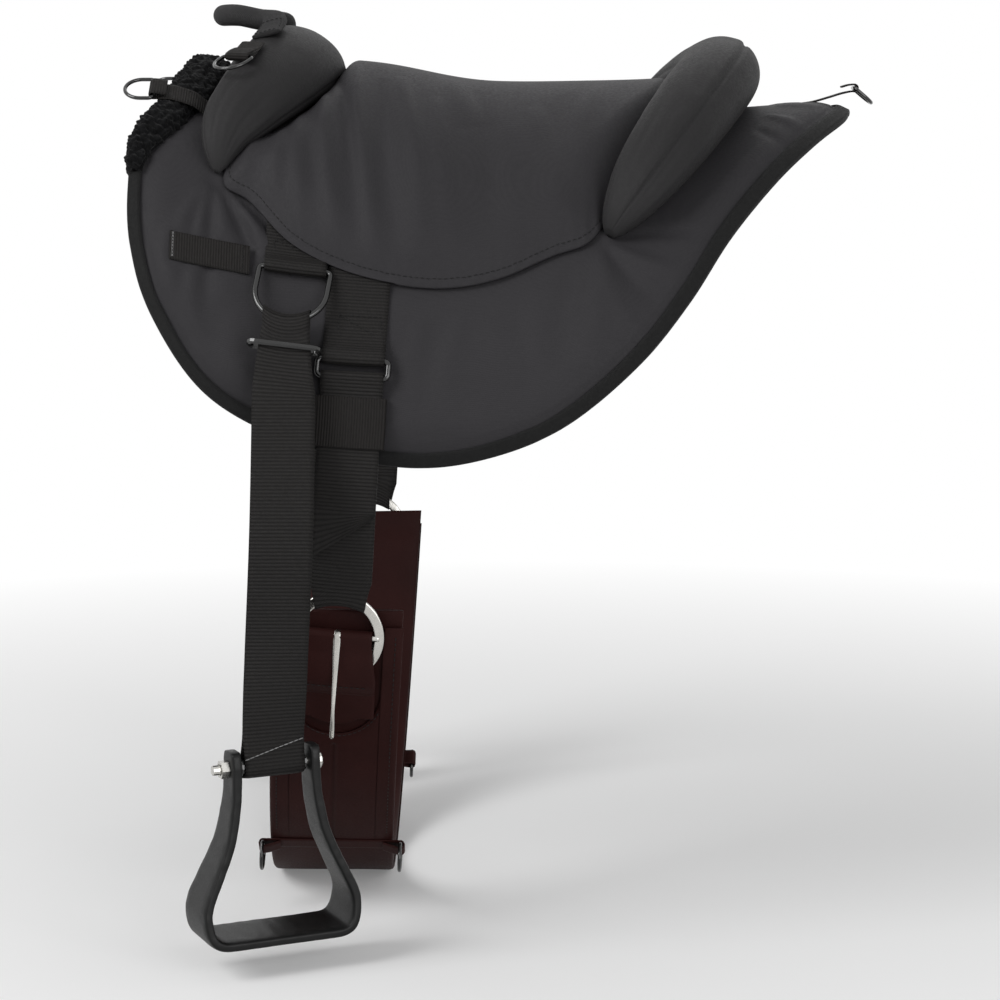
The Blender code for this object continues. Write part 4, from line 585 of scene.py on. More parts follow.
# %% Creases
def creases(x, drop, folds):
    """Sum of folds (x, drop, x, drop, height, width, bend), lengths in mm: each is a bell curve across
    its line times a sine along it."""
    total = np.zeros(np.broadcast(x, drop).shape)
    for x0, d0, x1, d1, height, width, bend in folds:
        start, step = np.array([x0, d0]) / 1000, np.array([x1 - x0, d1 - d0]) / 1000
        size = np.hypot(*step)
        unit = step / size
        along = ((x - start[0]) * unit[0] + (drop - start[1]) * unit[1]) / size
        side = (drop - start[1]) * unit[0] - (x - start[0]) * unit[1]
        side = side - bend / 1000 * np.sin(cut(along) * math.pi)
        fade = np.sin(cut(along) * math.pi) ** 0.7
        spread = width / 1000 * (0.5 + 0.8 * cut(along))
        total += height / 1000 * fade * bell(side / spread)
    return total


FLAP_FOLDS = ((-237, 190, -246, 330, 2.2, 5.5, 3), (-234, 192, -240, 318, -1.9, 4.0, 1),
              (-230, 196, -222, 300, 1.9, 6, -4), (-229, 193, -196, 262, -2.6, 4.0, -3),
              (-226, 192, -182, 262, 2.6, 5.0, -4), (-241, 194, -270, 300, 1.8, 7, 5),
              (-240, 200, -258, 290, -1.3, 4, 3), (-222, 193, -166, 246, -1.9, 3.5, -2),
              (-262, 240, -280, 330, 1.1, 9, 2), (-246, 330, -240, 392, 1.0, 12, 2),
              (-215, 300, -206, 388, 1.2, 10, 3), (-190, 330, -184, 396, -1.0, 9, 0))
TAIL_FOLDS = ((84, 232, 150, 268, 1.9, 4.5, 4), (84, 234, 134, 300, -1.4, 4.5, 4),
              (80, 236, 112, 326, 1.3, 6, 5), (76, 238, 70, 350, 1.3, 8, -6),
              (60, 246, 44, 370, -1.0, 9, 4), (90, 228, 176, 232, -1.2, 4, -3),
              (226, 60, 262, 96, 1.2, 5, 3), (214, 92, 246, 130, -0.9, 5, 2),
              (236, 20, 276, 40, 1.0, 6, 3), (-28, 288, -46, 392, 1.3, 9, 5),
              (12, 286, 18, 384, -0.9, 10, -4), (-62, 290, -74, 396, 1.1, 8, 3))
SEAM_TIPS, SEAM_DROP = np.array([-0.236, 0.081]), 0.270
SEAM = [(SEAM_TIPS[0] + (SEAM_TIPS[1] - SEAM_TIPS[0]) * a, SEAM_DROP * b) for a, b in
        ((0.0, .70), (.09, .755), (.2, .885), (.36, .965), (.56, 1.0), (.72, .975), (.86, .905),
         (1.0, .85))]
SEAM = through(SEAM, 160)


def pad_lift(x, drop):
    """Top of the cover: thickness, folds on both sides, soft clouds and a dip along the seat's seam."""
    inset = inset_of(x, drop)
    inside = cut(inset / 0.03)
    near = np.abs(drop)
    height = cover_top(inset) + 1.9 * inside * creases(x, near, FLAP_FOLDS + TAIL_FOLDS)
    height = height + inside * 0.0006 * cloth_clouds(x, drop, 0.055, 3)
    dip = bell(distance_to(SEAM, x, near) / 0.004)
    quilt = 0.0011 * bell((inset - 0.0125) / 0.0012)
    height = height - 0.0014 * dip - quilt
    strap = cut(1 - (np.abs(x + 0.135) - 0.060) / 0.012) * cut(1 - (0.25 - near) / 0.02)
    patch = cut(1 - (np.abs(x - PATCH_X) - 0.035) / 0.010)
    strap = np.maximum(strap, patch * cut(1 - (np.abs(near - PATCH_DROP) - 0.014) / 0.010))
    return np.where(strap > 0, height - strap * np.maximum(height - 0.0180, 0), height)


def ringed(name, rim, centre, rings, top_of, under_of, material, nodes, power):
    """A disc in rings from a rim to its centre, with a top and an underside joined round the rim."""
    share = np.linspace(0, 1, rings) ** power
    flat = rim[None] * (1 - share[:, None, None]) + centre * share[:, None, None]
    x, drop = flat[..., 0], flat[..., 1]
    top, under = on(x, drop, top_of(x, drop)), on(x, drop, under_of(x, drop))
    faces, uv = quads(2 * rings, len(rim), False, True), np.concatenate((flat[::-1], flat))
    return make(name, np.concatenate((top[::-1], under)), faces, uv, material, nodes)


ringed("pad_shell", RIM, CENTRE, 94, pad_lift, lambda x, d: lining_top(inset_of(x, d)) + 0.0003, CLOTH,
       "pad_cover foam_core", power=1.25)


def fleece_under(x, drop):
    """Underside of the lining: tufts that stand 1.5 mm proud of its flat back."""
    p = on(x, drop, 0.0)
    inset = inset_of(x, drop)
    edge = 0.0016 * cut(1 - inset / EDGE_RUN)
    return edge + 0.0012 * (1 - curls(p, 0.011, 5)) * cut(inset / 0.012)


LINING_RIM = RIM + (CENTRE - RIM) * 0.004
ringed("pad_lining", LINING_RIM, CENTRE, 94, lambda x, d: lining_top(inset_of(x, d)), fleece_under, FLEECE,
       "fleece_lining", power=1.1)
print("pad", len(PIECES["pad_shell"].data.polygons), "faces")

# %% [markdown]
# The rim is finished with a folded tape, from the front edge on one side round the tail to the other.
# Its profile hugs the rim from top to underside and is carried along the rim curve. A fleece roll is
# folded over the front edge at the withers instead, and its tufts are pushed out by the curls noise.

# %% Edge binding and fleece collar
def outward(path, closed=False):
    """Unit direction to the left of a plane path, which for the rim is away from the pad."""
    step = np.roll(path, -1, axis=0) - np.roll(path, 1, axis=0) if closed else np.gradient(path, axis=0)
    return np.stack((-step[:, 1], step[:, 0]), -1) / np.linalg.norm(step, axis=-1, keepdims=True)


def along_rim(drop_from, count, tail=True):
    """The rim from a drop on the far side round the tail to the near side, or round the withers, and the
    direction away from the pad at each of its points."""
    first = np.argmax(HALF[:, 1] >= drop_from)
    far = HALF[first:] if tail else HALF[:first + 1][::-1]
    path = evenly(np.vstack((far, (far * [1, -1])[-2::-1])), count)
    away = outward(path)
    return path, away * np.sign((away * (path - CENTRE)).sum(-1, keepdims=True))


def binding_profile():
    """Closed loop of (outward, lift): over the top edge, round the rim and back, 1.2 mm thick."""
    t = np.linspace(-math.pi / 2, math.pi / 2, 9)
    nose = np.stack((0.0005 + 0.0018 * np.cos(t), 0.0040 + 0.0036 * -np.sin(t)), -1)
    outer = np.vstack(([(-0.0090, 0.0122), (-0.0060, 0.0112), (-0.0025, 0.0093)], nose,
                       [(-0.0025, -0.0006), (-0.0090, -0.0006)]))
    inner = np.array([(-0.0090, 0.0004), (-0.0010, 0.0010), (0.0004, 0.0030), (0.0004, 0.0055),
                      (-0.0015, 0.0076), (-0.0050, 0.0094), (-0.0085, 0.0106)])
    return np.vstack((outer, inner))


path, away = along_rim(0.189, 620)
profile = binding_profile()
pucker = 1 + 0.03 * cloth_clouds(path[:, 0], path[:, 1], 0.012, 9)
spot = path[:, None] + away[:, None] * (profile[None, :, :1] * pucker[:, None, None])
tube("binding", on(spot[..., 0], spot[..., 1], profile[None, :, 1]), BINDING_TAPE, "edge_binding")

COLLAR_DROP = 0.190
path, away = along_rim(COLLAR_DROP, 700, tail=False)
share = cut(np.abs(path[:, 1]) / COLLAR_DROP)
scale = 1 - 0.62 * share ** 1.4
turn = around(96)
reach_back = np.minimum(0.026 * scale, 0.0175 + 0.012 * share)[:, None]
ahead = 0.022 * scale[:, None] ** 1.7
shape_x = np.where(np.cos(turn) > 0, ahead * np.cos(turn), reach_back * np.cos(turn))
top = (0.0158 + 0.0135 * scale)[:, None]
shape_z = 0.5 * top + 0.5 * top * squared(np.sin(turn), 0.75)
spot = path[:, None] + away[:, None] * shape_x[..., None]
fleece = on(spot[..., 0], spot[..., 1], np.maximum(shape_z, np.where(shape_x < -0.0005, 0.012, 0.0004)))
lump = 0.8 * curls(fleece, 0.0075, 11) + 0.7 * curls(fleece, 0.0042, 13)
under_tab = bell((np.abs(path[:, 1]) - TAB_DROP) / 0.011)[:, None]
lump = lump - 0.75 - 0.45 * under_tab
loose = np.where(shape_z > 0.011, 1, 0.4)
fleece = fleece + across_normals(fleece) * (lump * 0.0050)[..., None] * loose[..., None]
tube("collar_fleece", fleece, FLEECE, "fleece_collar")
print("rim pieces done")

# %% [markdown]
# ## Two bolsters across the back
# Each roll has a centre line that sweeps forward as it goes down, a thickness that closes at both tips,
# and a section that is round on top and flat where it rests. Seams are narrow grooves at fixed angles,
# and small folds gather towards the tips.

# %% Rolls
FOOT = math.radians(50)


class Roll:
    """centre(d) is where the roll is along the back at a drop, fat(d) its share of the full thickness."""

    def __init__(self, x, sweep, bend, drop, width, height, power, base, reach=0.0, knee=0.15):
        self.x, self.sweep, self.bend, self.drop = x, sweep, bend, drop
        self.width, self.height, self.power, self.base = width, height, power, base
        self.reach, self.knee = max(reach, drop), knee

    def centre(self, d):
        share = np.abs(d) / self.drop
        if self.reach > self.drop:
            share = np.where(share < 0.8, share, 0.8 + 0.2 * np.tanh((share - 0.8) / 0.2))
        level = (np.hypot(share, self.knee) - self.knee) * 0.861 / (math.hypot(1, self.knee) - self.knee)
        return self.x - self.sweep * ((1 - self.bend) * level + self.bend * share ** 2)

    def fat(self, d):
        """One minus a power of the drop's share, as a root; a longer reach takes over beyond two thirds."""
        near = cut(1 - np.minimum(1, np.abs(d) / self.drop) ** self.power) ** 0.5
        far = 0.90 * cut(1 - np.minimum(1, np.abs(d) / self.reach) ** 2.8) ** 0.62
        blend = cut((np.abs(d) / self.drop - 0.35) / 0.55)
        blend = eased(blend) * (self.reach > self.drop)
        return near * (1 - blend) + far * blend

    def beside(self, d, across):
        """The place (x, drop) a distance to one side of the centre line, square to it."""
        slope = (self.centre(d + 0.001) - self.centre(d - 0.001)) / 0.002
        size = np.hypot(slope, 1)
        return self.centre(d) + across / size, d - across * slope / size

    def place(self, d, angle, off=0.0):
        """Point of the section at an angle from its rear side upwards, moved off along its radius."""
        half = self.width / 2 * self.fat(d) + off
        tall = self.height * self.fat(d) / (1 + math.sin(FOOT)) + off
        middle = self.base + (tall - off) * math.sin(FOOT)
        across = half * np.cos(angle)
        lift = np.maximum(middle + tall * np.sin(angle), self.base - 0.0004)
        return on(*self.beside(d, across), lift)


FRONT = Roll(-0.172, 0.064, 0.67, 0.155, 0.074, 0.0545, 3, 0.0202)
FRONT_CLOTH = Roll(-0.172, 0.064, 0.67, 0.155, 0.074, 0.0545, 3, 0.0202, 0.184)
REAR = Roll(0.189, 0.108, 0.58, 0.230, 0.072, 0.060, 4, 0.0187, knee=0.3)


def roll_grid(roll, seams, folds, rows=221, columns=120):
    """Rows closer together at the tips, angles all the way round; off is the sum of the details."""
    d = (roll.reach * 0.994 * np.sin(np.linspace(-1, 1, rows) * math.pi / 2))[:, None]
    angle = np.linspace(-math.pi / 2, 1.5 * math.pi, columns, endpoint=False)[None, :]
    angle = np.broadcast_to(angle, (rows, columns))
    share = np.abs(d) / roll.reach
    off = np.zeros((rows, columns))
    for at, bend, depth in seams:
        line = at + bend * share ** 2
        off -= depth * bell((angle - line) * roll.width / 2 / 0.0015)
        off += 0.0006 * bell(((angle - line) * roll.width / 2 - 0.006) / 0.003)
    tips = cut((share - 0.55) / 0.45)
    for at, width, height in folds:
        off += height * tips * (1 - tips) * 3 * bell((angle - at) / width)
    p = roll.place(d, angle)
    off += 0.0009 * clouds(p, 0.05, 21) + 0.0004 * clouds(p, 0.018, 22)
    upper = cut((np.sin(angle) + 0.5) / 0.4)
    return roll.place(d, angle, off * upper * np.minimum(1, roll.fat(d) * 1.5))


ROLL_FOLDS = ((0.3, 0.10, 0.0016), (0.8, 0.08, -0.0013), (1.3, 0.10, 0.0015), (1.9, 0.09, -0.0012),
              (2.4, 0.1, 0.0014), (2.8, 0.08, -0.0012))
FRONT_SEAMS = ((2.66, -0.10, 0.0017), (-0.15, 0.05, 0.0010))
REAR_SEAMS = ((0.86, 0.25, 0.0019), (2.80, -0.3, 0.0012))
# Both rolls take the darker copy of the cover cloth, which paints shade on them.
tube("roll_front", roll_grid(FRONT_CLOTH, FRONT_SEAMS, ROLL_FOLDS), ROLL_CLOTH_SHADED,
     "front_roll_cover front_roll_core")
tube("roll_rear", roll_grid(REAR, REAR_SEAMS, ROLL_FOLDS), ROLL_CLOTH_SHADED, "rear_roll_cover rear_roll_core")

# %% [markdown]
# ## The seat between them
# The seat is a crowned cushion that fills the space between the rolls and ends in the curved seam. Its
# height is highest over the spine. Tall folds hang down from the top, because the cloth is wider than
# the foam under it, and the seam gathers it into short puckers.

# %% Seat
def roll_edge(roll, d, side):
    """The point beside a roll, tucked in under its widest."""
    reach = side * (roll.width / 2 * roll.fat(d) - 0.008 * (0.3 + 0.7 * roll.fat(d)))
    return [float(v) for v in roll.beside(d, reach)]


shares = (0.0, 0.35, 0.7, 0.93)
front = [roll_edge(FRONT, s * FRONT.drop, 1) for s in shares]
rear = [roll_edge(REAR, s * REAR.drop, -1) for s in reversed(shares)]
tips = float(FRONT.centre(FRONT.drop)), float(REAR.centre(REAR.drop))
seam = [[tips[0] + (tips[1] - tips[0]) * a, SEAM_DROP * b] for a, b in
        ((.022, .705), (.09, .755), (.2, .885), (.36, .965), (.56, 1.0), (.72, .975), (.86, .905),
         (.95, .865))]
SEAT_HALF = through(front + seam + rear, 240)
SEAT_HALF[[0, -1], 1] = 0
SEAT_RIM = np.vstack((SEAT_HALF, (SEAT_HALF * [1, -1])[-2:0:-1]))
SEAT_MIDDLE = np.array([(SEAT_HALF[0, 0] + SEAT_HALF[-1, 0]) / 2, 0.0])
SEAT_FOLDS = ((-150, 60, -128, 262, 2.6, 5.5, 4), (-140, 40, -112, 250, -2.6, 5, -3),
              (-122, 30, -100, 262, 2.4, 6, 5), (-168, 70, -160, 236, 2.0, 5.5, 3),
              (-180, 110, -190, 222, 1.6, 5, -3), (-100, 60, -84, 258, -1.8, 6, 3),
              (-84, 50, -62, 262, 2.0, 7, -4), (-52, 80, -34, 264, 1.3, 8, 5),
              (-20, 60, -6, 262, -1.2, 9, -4), (-40, 30, -20, 120, 1.2, 9, 4),
              (30, 90, 44, 250, 1.0, 10, -5), (-196, 130, -214, 200, 1.6, 4, 2),
              (60, 60, 40, 200, -0.8, 12, 5), (86, 40, 60, 190, 1.0, 9, 4))


def seat_lift(x, drop):
    """A rounded edge, a crown of 9 mm at the seam and 24 mm over the spine, folds and puckers."""
    inset = distance_to(SEAT_RIM, x, drop)
    near = np.abs(drop)
    full = 0.0095 + 0.0145 * np.cos(math.pi / 2 * cut(near / 0.27))
    full = full + 0.0095 * np.exp(-((x + 0.105) / 0.062) ** 2) * np.exp(-(near / 0.11) ** 2)
    span = 0.048 - 0.026 * np.exp(-(near / 0.12) ** 2)
    share = cut(inset / span)
    power = 0.8 + 0.2 * np.exp(-(near / 0.12) ** 2)
    height = 0.0197 + (full + 0.0026) * np.sin(share * math.pi / 2) ** power
    inside = cut(inset / 0.02)
    height = height + 1.9 * inside * creases(x, near, SEAT_FOLDS)
    pucker = np.sin(x * 2 * math.pi / 0.013 + 2 * np.sin(x * 90))
    pucker = pucker * np.exp(-inset / 0.010) * cut(inset / 0.003)
    height = height + 0.0007 * pucker * cut((near - 0.15) / 0.05)
    return height + inside * 0.0007 * cloth_clouds(x, drop, 0.06, 31)


HANGER_X, GIRTH_X = -0.1645, -0.105


def girth_x(drop):
    """The girth's centre line leans forward by 42 mm from the spine to the belly."""
    return GIRTH_X - 0.021 * (1 - np.cos(angle_of(np.full(np.shape(drop), GIRTH_X), np.abs(drop))))


def seat_under(x, drop):
    """Lies on the pad cover, and steps up over the two straps that pass beneath it."""
    over = [np.exp(-cut(np.abs(x - middle) - 0.028) / 0.003) for middle in (HANGER_X, girth_x(drop))]
    return 0.0181 + 0.0026 * np.maximum(*over)


ringed("seat", SEAT_RIM, SEAT_MIDDLE, 100,
       lambda x, d: np.maximum(seat_lift(x, d), seat_under(x, d) + 0.001),
       seat_under, CLOTH, "seat_cover seat_foam", power=1.3)
print("cushions", len(PIECES["seat"].data.vertices), "points in the seat")

# %% [markdown]
# ## Webbing over the back
# A strap is a line of (drop, lift) points carried sideways by half its width, so it drapes over the same
# form as the pad. Two straps pass under the seat: one carries the large D-rings, the other the slides of
# the girth straps. Each folds round its bar and comes back to be sewn on itself.

# %% Hanger and billet
WEBBING = 0.0015
LYING = 0.0176 + WEBBING / 2
WRAP = 0.0024 + 0.0007 + WEBBING / 2
BAR_DROP, BAR_LIFT, SLIDE_DROP, SLIDE_LIFT = 0.262, LYING + WRAP, 0.334, LYING + WEBBING + WRAP


def bend_round(centre, radius, start, end, steps=13):
    """Points of an arc of (drop, lift), angles in degrees."""
    t = np.radians(np.linspace(start, end, steps))
    return np.stack((centre[0] + radius * np.cos(t), centre[1] + radius * np.sin(t)), -1).tolist()


def strap_sheet(line, x_at, half, columns=13, count=400, shift=None):
    """Middle surface of a strap: its line cut evenly, with columns of points across its width."""
    line = through(line, count)
    run = run_of(line)
    share = np.linspace(-1, 1, columns)[None, :]
    wide = half(run, line[:, 0]) if callable(half) else np.full(len(line), half)
    across = share * wide[:, None]
    drop = np.broadcast_to(line[:, :1], across.shape)
    if shift is not None:
        drop = drop + shift(run[:, None], across, line)
    return on(np.asarray(x_at(line[:, 0]))[:, None] + across, -drop, line[:, 1:])


def over_back(start):
    """Drops from a strap's near end up to the spine and down the far side, at the height it lies at."""
    near = [[start * (1 - k / 12), LYING] for k in range(12)]
    return near + [[0, LYING]] + mirrored(near)


def mirrored_line(end, start):
    return end + over_back(start) + mirrored(end)


high = BAR_LIFT + WRAP - LYING
end = [[BAR_DROP - 2 * WRAP, LYING]] + bend_round((BAR_DROP, BAR_LIFT), WRAP, -90, 90)
end += [[BAR_DROP - back, LYING + share * high]
        for back, share in ((0.004, 0.85), (0.010, 0.3), (0.015, 0.07))]
strap = strap_sheet(mirrored_line(end, BAR_DROP - 0.024), lambda d: HANGER_X + 0 * d, 0.025)
webbing("hanger_strap", strap, WEB, "stirrup_hanger_strap")
high = SLIDE_LIFT + WRAP - LYING
end = [[SLIDE_DROP - 0.015, LYING], [SLIDE_DROP - 0.005, LYING + 0.14 * high]]
end += bend_round((SLIDE_DROP, SLIDE_LIFT), WRAP, -90, 90)
end += [[SLIDE_DROP - back, LYING + share * high]
        for back, share in ((0.005, 0.9), (0.013, 0.33), (0.022, 0.08))]
webbing("billet", strap_sheet(mirrored_line(end, SLIDE_DROP - 0.032), girth_x, 0.025, count=460),
        WEB, "girth_billet_strap")

# %% [markdown]
# The girth strap is sewn round the ring, runs up to the slide, turns over its lower bar and comes down
# again as a loose tail with a slanted end. It narrows inside the ring, where the webbing is bunched.

# %% Girth strap and keeper
MAIN_LIFT = LYING + WEBBING + 0.0004
TAIL_LIFT = MAIN_LIFT + WEBBING + 0.0004
KEEPER_LIFT = TAIL_LIFT + WEBBING + 0.0004
RING_DROP, RING_LIFT, RING_SAG = 0.556, 0.0158, 0.00155
RING_RADIUS = 0.0335
band = RING_DROP - RING_RADIUS
level = RING_LIFT + RING_SAG
low, top = level - 0.0015 - 0.0016 - WEBBING / 2, level + 0.0015 + 0.0008 + WEBBING / 2
line = [[band - 0.046, MAIN_LIFT - WEBBING - 0.0004], [band - 0.020, level], [band - 0.009, low + 0.0005],
        [band - 0.004, low], [band + 0.003, low], [band + 0.0063, low + 0.0008],
        [band + 0.0063, top - 0.0008], [band + 0.003, top], [band - 0.004, top]]
line += [[0.412 + (band - 0.412) * (1 - k / 4), MAIN_LIFT] for k in (1, 2, 3, 4)]
line += [[d, MAIN_LIFT] for d in (0.404, 0.384, 0.364)] + [[0.356, SLIDE_LIFT - WRAP]]
line += bend_round((SLIDE_DROP + 0.014, SLIDE_LIFT), WRAP, -90, -270)
line += [[0.356, TAIL_LIFT + WRAP / 2]] + [[d, TAIL_LIFT] for d in (0.364, 0.384, 0.404)]
line += [[0.412 + 0.020 * k, TAIL_LIFT + 0.0003 * k] for k in range(5)]


def strap_half(run, drop):
    """Half the width: 19 mm inside the ring's fold, easing to 25 mm."""
    inside = cut((run - 0.024) / 0.010) * cut((0.078 - run) / 0.022)
    return 0.025 - 0.006 * inside


def strap_shift(run, across, line):
    """The fold follows the round inside of the ring, and the tail ends on a slant."""
    inside = cut((run - 0.024) / 0.010) * cut((0.070 - run) / 0.020)
    bow = 0.0279 - np.sqrt(0.0279 ** 2 - np.minimum(np.abs(across), 0.0195) ** 2)
    last = cut((run - run.max() + 0.038) / 0.038)
    return inside * bow - 0.034 * last * (across / 0.050 + 0.5)


@both_sides
def girth_strap(side, flip):
    grid = strap_sheet(line, girth_x, strap_half, count=520, shift=strap_shift)
    webbing("girth_web_" + side, grid * flip, WEB, "girth_strap_" + side)


@both_sides
def keeper(side, flip):
    """A wide loop round the strap and its tail: a flat oval carried down the strap."""
    drops = np.linspace(0.364, 0.404, 41)[:, None]
    t = around(96)[None, :]
    half, tall = 0.0280, (KEEPER_LIFT - LYING) / 2
    across = half * squared(np.cos(t), 0.24)
    lift = (KEEPER_LIFT + LYING) / 2 + tall * squared(np.sin(t), 0.35)
    waist = 1 + 0.012 * np.sin((drops - 0.364) / 0.040 * math.pi)
    mid = on(girth_x(drops) + across * waist, -drops, lift + 0 * drops)
    out = np.roll(mid, -1, axis=1) - np.roll(mid, 1, axis=1)
    out = np.cross(out, np.gradient(mid, axis=0))
    out = unit(out) * WEBBING * 0.48
    if (out[20, 24] * (mid[20, 24] - mid[20].mean(axis=0))).sum() < 0:
        out = -out
    loop = np.concatenate((mid + out, (mid - out)[::-1]), axis=0)
    run = np.concatenate((lengths(mid, 1), lengths(mid, 1)[::-1]), axis=0)
    down = np.concatenate((drops, drops[::-1])) + 0 * run
    faces = quads(len(loop), loop.shape[1], True, True)
    uv = np.stack((down, run), -1)
    make("keeper_" + side, loop * flip, faces, uv, WEB_ACROSS, "strap_keeper_" + side)


print("girth straps", len(PIECES["girth_web_left"].data.vertices))

# %% [markdown]
# ## The stirrup strap
# A closed loop of webbing hangs from the bow of each large D-ring, goes round a sleeve on the stirrup's
# bolt, and is sewn together below the ring. Its stations carry a place, the direction of its width and
# the direction it faces. The lower end turns with the stirrup.

# %% Stirrup strap
def near_frame(x, drop, lift):
    """Origin, along the back, down the side and out of it, for a flat piece on the near side."""
    along = unit(on(x + 0.001, drop, lift) - on(x - 0.001, drop, lift))
    down = on(x, drop - 0.001, lift) - on(x, drop + 0.001, lift)
    down = square_to(down, along)
    return on(x, drop, lift), along, down, np.cross(down, along)


def girth_frame(drop, lift):
    """The same at a drop on the girth's line."""
    return near_frame(float(girth_x(np.array([drop]))[0]), -drop, lift)


ring_at, ring_along, ring_down, ring_out = near_frame(HANGER_X, -BAR_DROP, BAR_LIFT)
tilt = math.radians(9)
ring_down, ring_out = (ring_down * math.cos(tilt) + ring_out * math.sin(tilt),
                       ring_out * math.cos(tilt) - ring_down * math.sin(tilt))
BOW = ring_at + ring_down * 0.050
BOLT = np.array([-0.1805, -0.309, -0.487])
STIRRUP_YAW = math.radians(25)
path = [BOW, on(BOW[0], -0.342, 0.0394), on(BOW[0], -0.3882, 0.0394)]
path += [[BOW[0] + (BOLT[0] - BOW[0]) * way, BOLT[1], BOLT[2] * height]
         for way, height in ((0, 0.62), (0.5, 0.81))]
PATH = through(path + [BOLT], 321)
TOTAL = np.linalg.norm(np.diff(PATH, axis=0), axis=1).sum()


def turned(v, angle):
    """A direction turned about the vertical, by one angle for each row."""
    c, s = np.cos(angle)[:, None], np.sin(angle)[:, None]
    return np.concatenate((v[:, :1] * c - v[:, 1:2] * s, v[:, :1] * s + v[:, 1:2] * c, v[:, 2:]), -1)


def strap_loop():
    """Outer layer down, round the sleeve, inner layer up and round the D-ring's bow, as one closed loop."""
    below = np.linspace(0, TOTAL, 321)
    run = unit(np.gradient(PATH, axis=0))
    ease = cut((below - 0.050) / 0.020)[:, None]
    along = unit(ring_along * (1 - ease) + np.array([1.0, 0, 0]) * ease)
    face = unit(np.cross(run, along))
    run = np.cross(along, face)
    share = cut(1 - (TOTAL - below) / 0.110)
    turn = STIRRUP_YAW * eased(share)
    along, face = turned(along, turn), turned(face, turn)
    bow_wrap, sleeve_wrap, closed = 0.0024 + 0.0014 + WEBBING / 2, 0.0068 + 0.0007 + WEBBING / 2, 0.00135
    above = TOTAL - below
    spread = np.where(above < 0.028, closed + (sleeve_wrap - closed) * (1 - cut(above / 0.028)) ** 1.5,
                      np.where(below < 0.013, closed + (bow_wrap - closed) * (1 - (below / 0.013) ** 2),
                               closed))
    fade = cut((0.060 - below) / 0.047)
    lower = np.where(below[:, None] < 0.013, ring_down, run) * fade[:, None]
    t = np.radians(np.linspace(12, 168, 14))[:, None]
    first, last = 0, len(below) - 1
    centres = [PATH + face * spread[:, None],
               PATH[last] + sleeve_wrap * (face[last] * np.cos(t) + run[last] * np.sin(t)),
               (PATH - face * spread[:, None])[::-1],
               PATH[first] - bow_wrap * (face[first] * np.cos(t) + run[first] * np.sin(t))]
    rows = [np.arange(len(below)), np.full(14, last), np.arange(len(below))[::-1], np.full(14, first)]
    centre, row = np.vstack(centres), np.concatenate(rows)
    c = np.linspace(-1, 1, 13)[None, :, None]
    half = (0.025 - 0.006 * fade)[row][:, None, None]
    higher = 0.029 - np.sqrt(0.029 ** 2 - (c * half * fade[row][:, None, None]) ** 2)
    return centre[:, None] + along[row][:, None] * c * half - lower[row][:, None] * higher


STRAP_GRID = strap_loop()


@both_sides
def stirrup_strap(side, flip):
    webbing("stirrup_web_" + side, STRAP_GRID * flip, WEB, "stirrup_strap_" + side, "stirrup_strap_" + side,
            ring=True)


print("stirrup straps", round(float(TOTAL), 3), "m long each way")

# %% [markdown]
# ## The girth
# The girth is a soft band under the belly. Its liner and cover are sections carried round the lower half
# of the form, from one side to the other. The cover has a round pocket at each end, into which the
# folded chape of the ring goes, and a raised seam along its middle.

# %% Girth liner and cover
GIRTH_HALF = 0.0525
COVER_LOW, POCKET_HALF, POCKET_DROP, RING_STRAP_DROP = 0.0101, 0.0362, 0.6105, 0.792


def girth_turn(drop):
    """Angle of a drop on the girth's line."""
    return float(angle_of(np.array([GIRTH_X]), np.array([drop]))[0])


def girth_run(top, count):
    """Angles from a drop on the near side under the belly to the same drop on the far side."""
    start = girth_turn(top)
    return np.linspace(-start, start - 2 * math.pi, count)


def girth_point(turn, across, lift):
    """A point at an angle round the form, the lean of the centre line worked out from the angle."""
    x = GIRTH_X - 0.021 * (1 - np.cos(turn)) + across
    y, z = section_point(x, turn, lift)
    return np.stack((x + 0 * y, y, z), -1)


turn = girth_run(0.536, 361)[:, None]
t = around(80)[None, :]
across = (GIRTH_HALF - 0.0010) * squared(np.cos(t), 0.22)
lift = 0.0050 + 0.0045 * squared(np.sin(t), 0.5)
near_end = from_ends(361)[:, None] / 12
lift = 0.0050 + (lift - 0.0050) * np.clip(near_end, 0.55, 1)
tube("girth_padding", girth_point(turn, across, lift + 0 * turn), BROWN, "girth_liner")

# %% [markdown]
# The cover is one sheet whose rows start further down in the middle than at the edges: the round pocket
# is the shape of its end. Each column of the grid begins where the pocket ends at that place across.

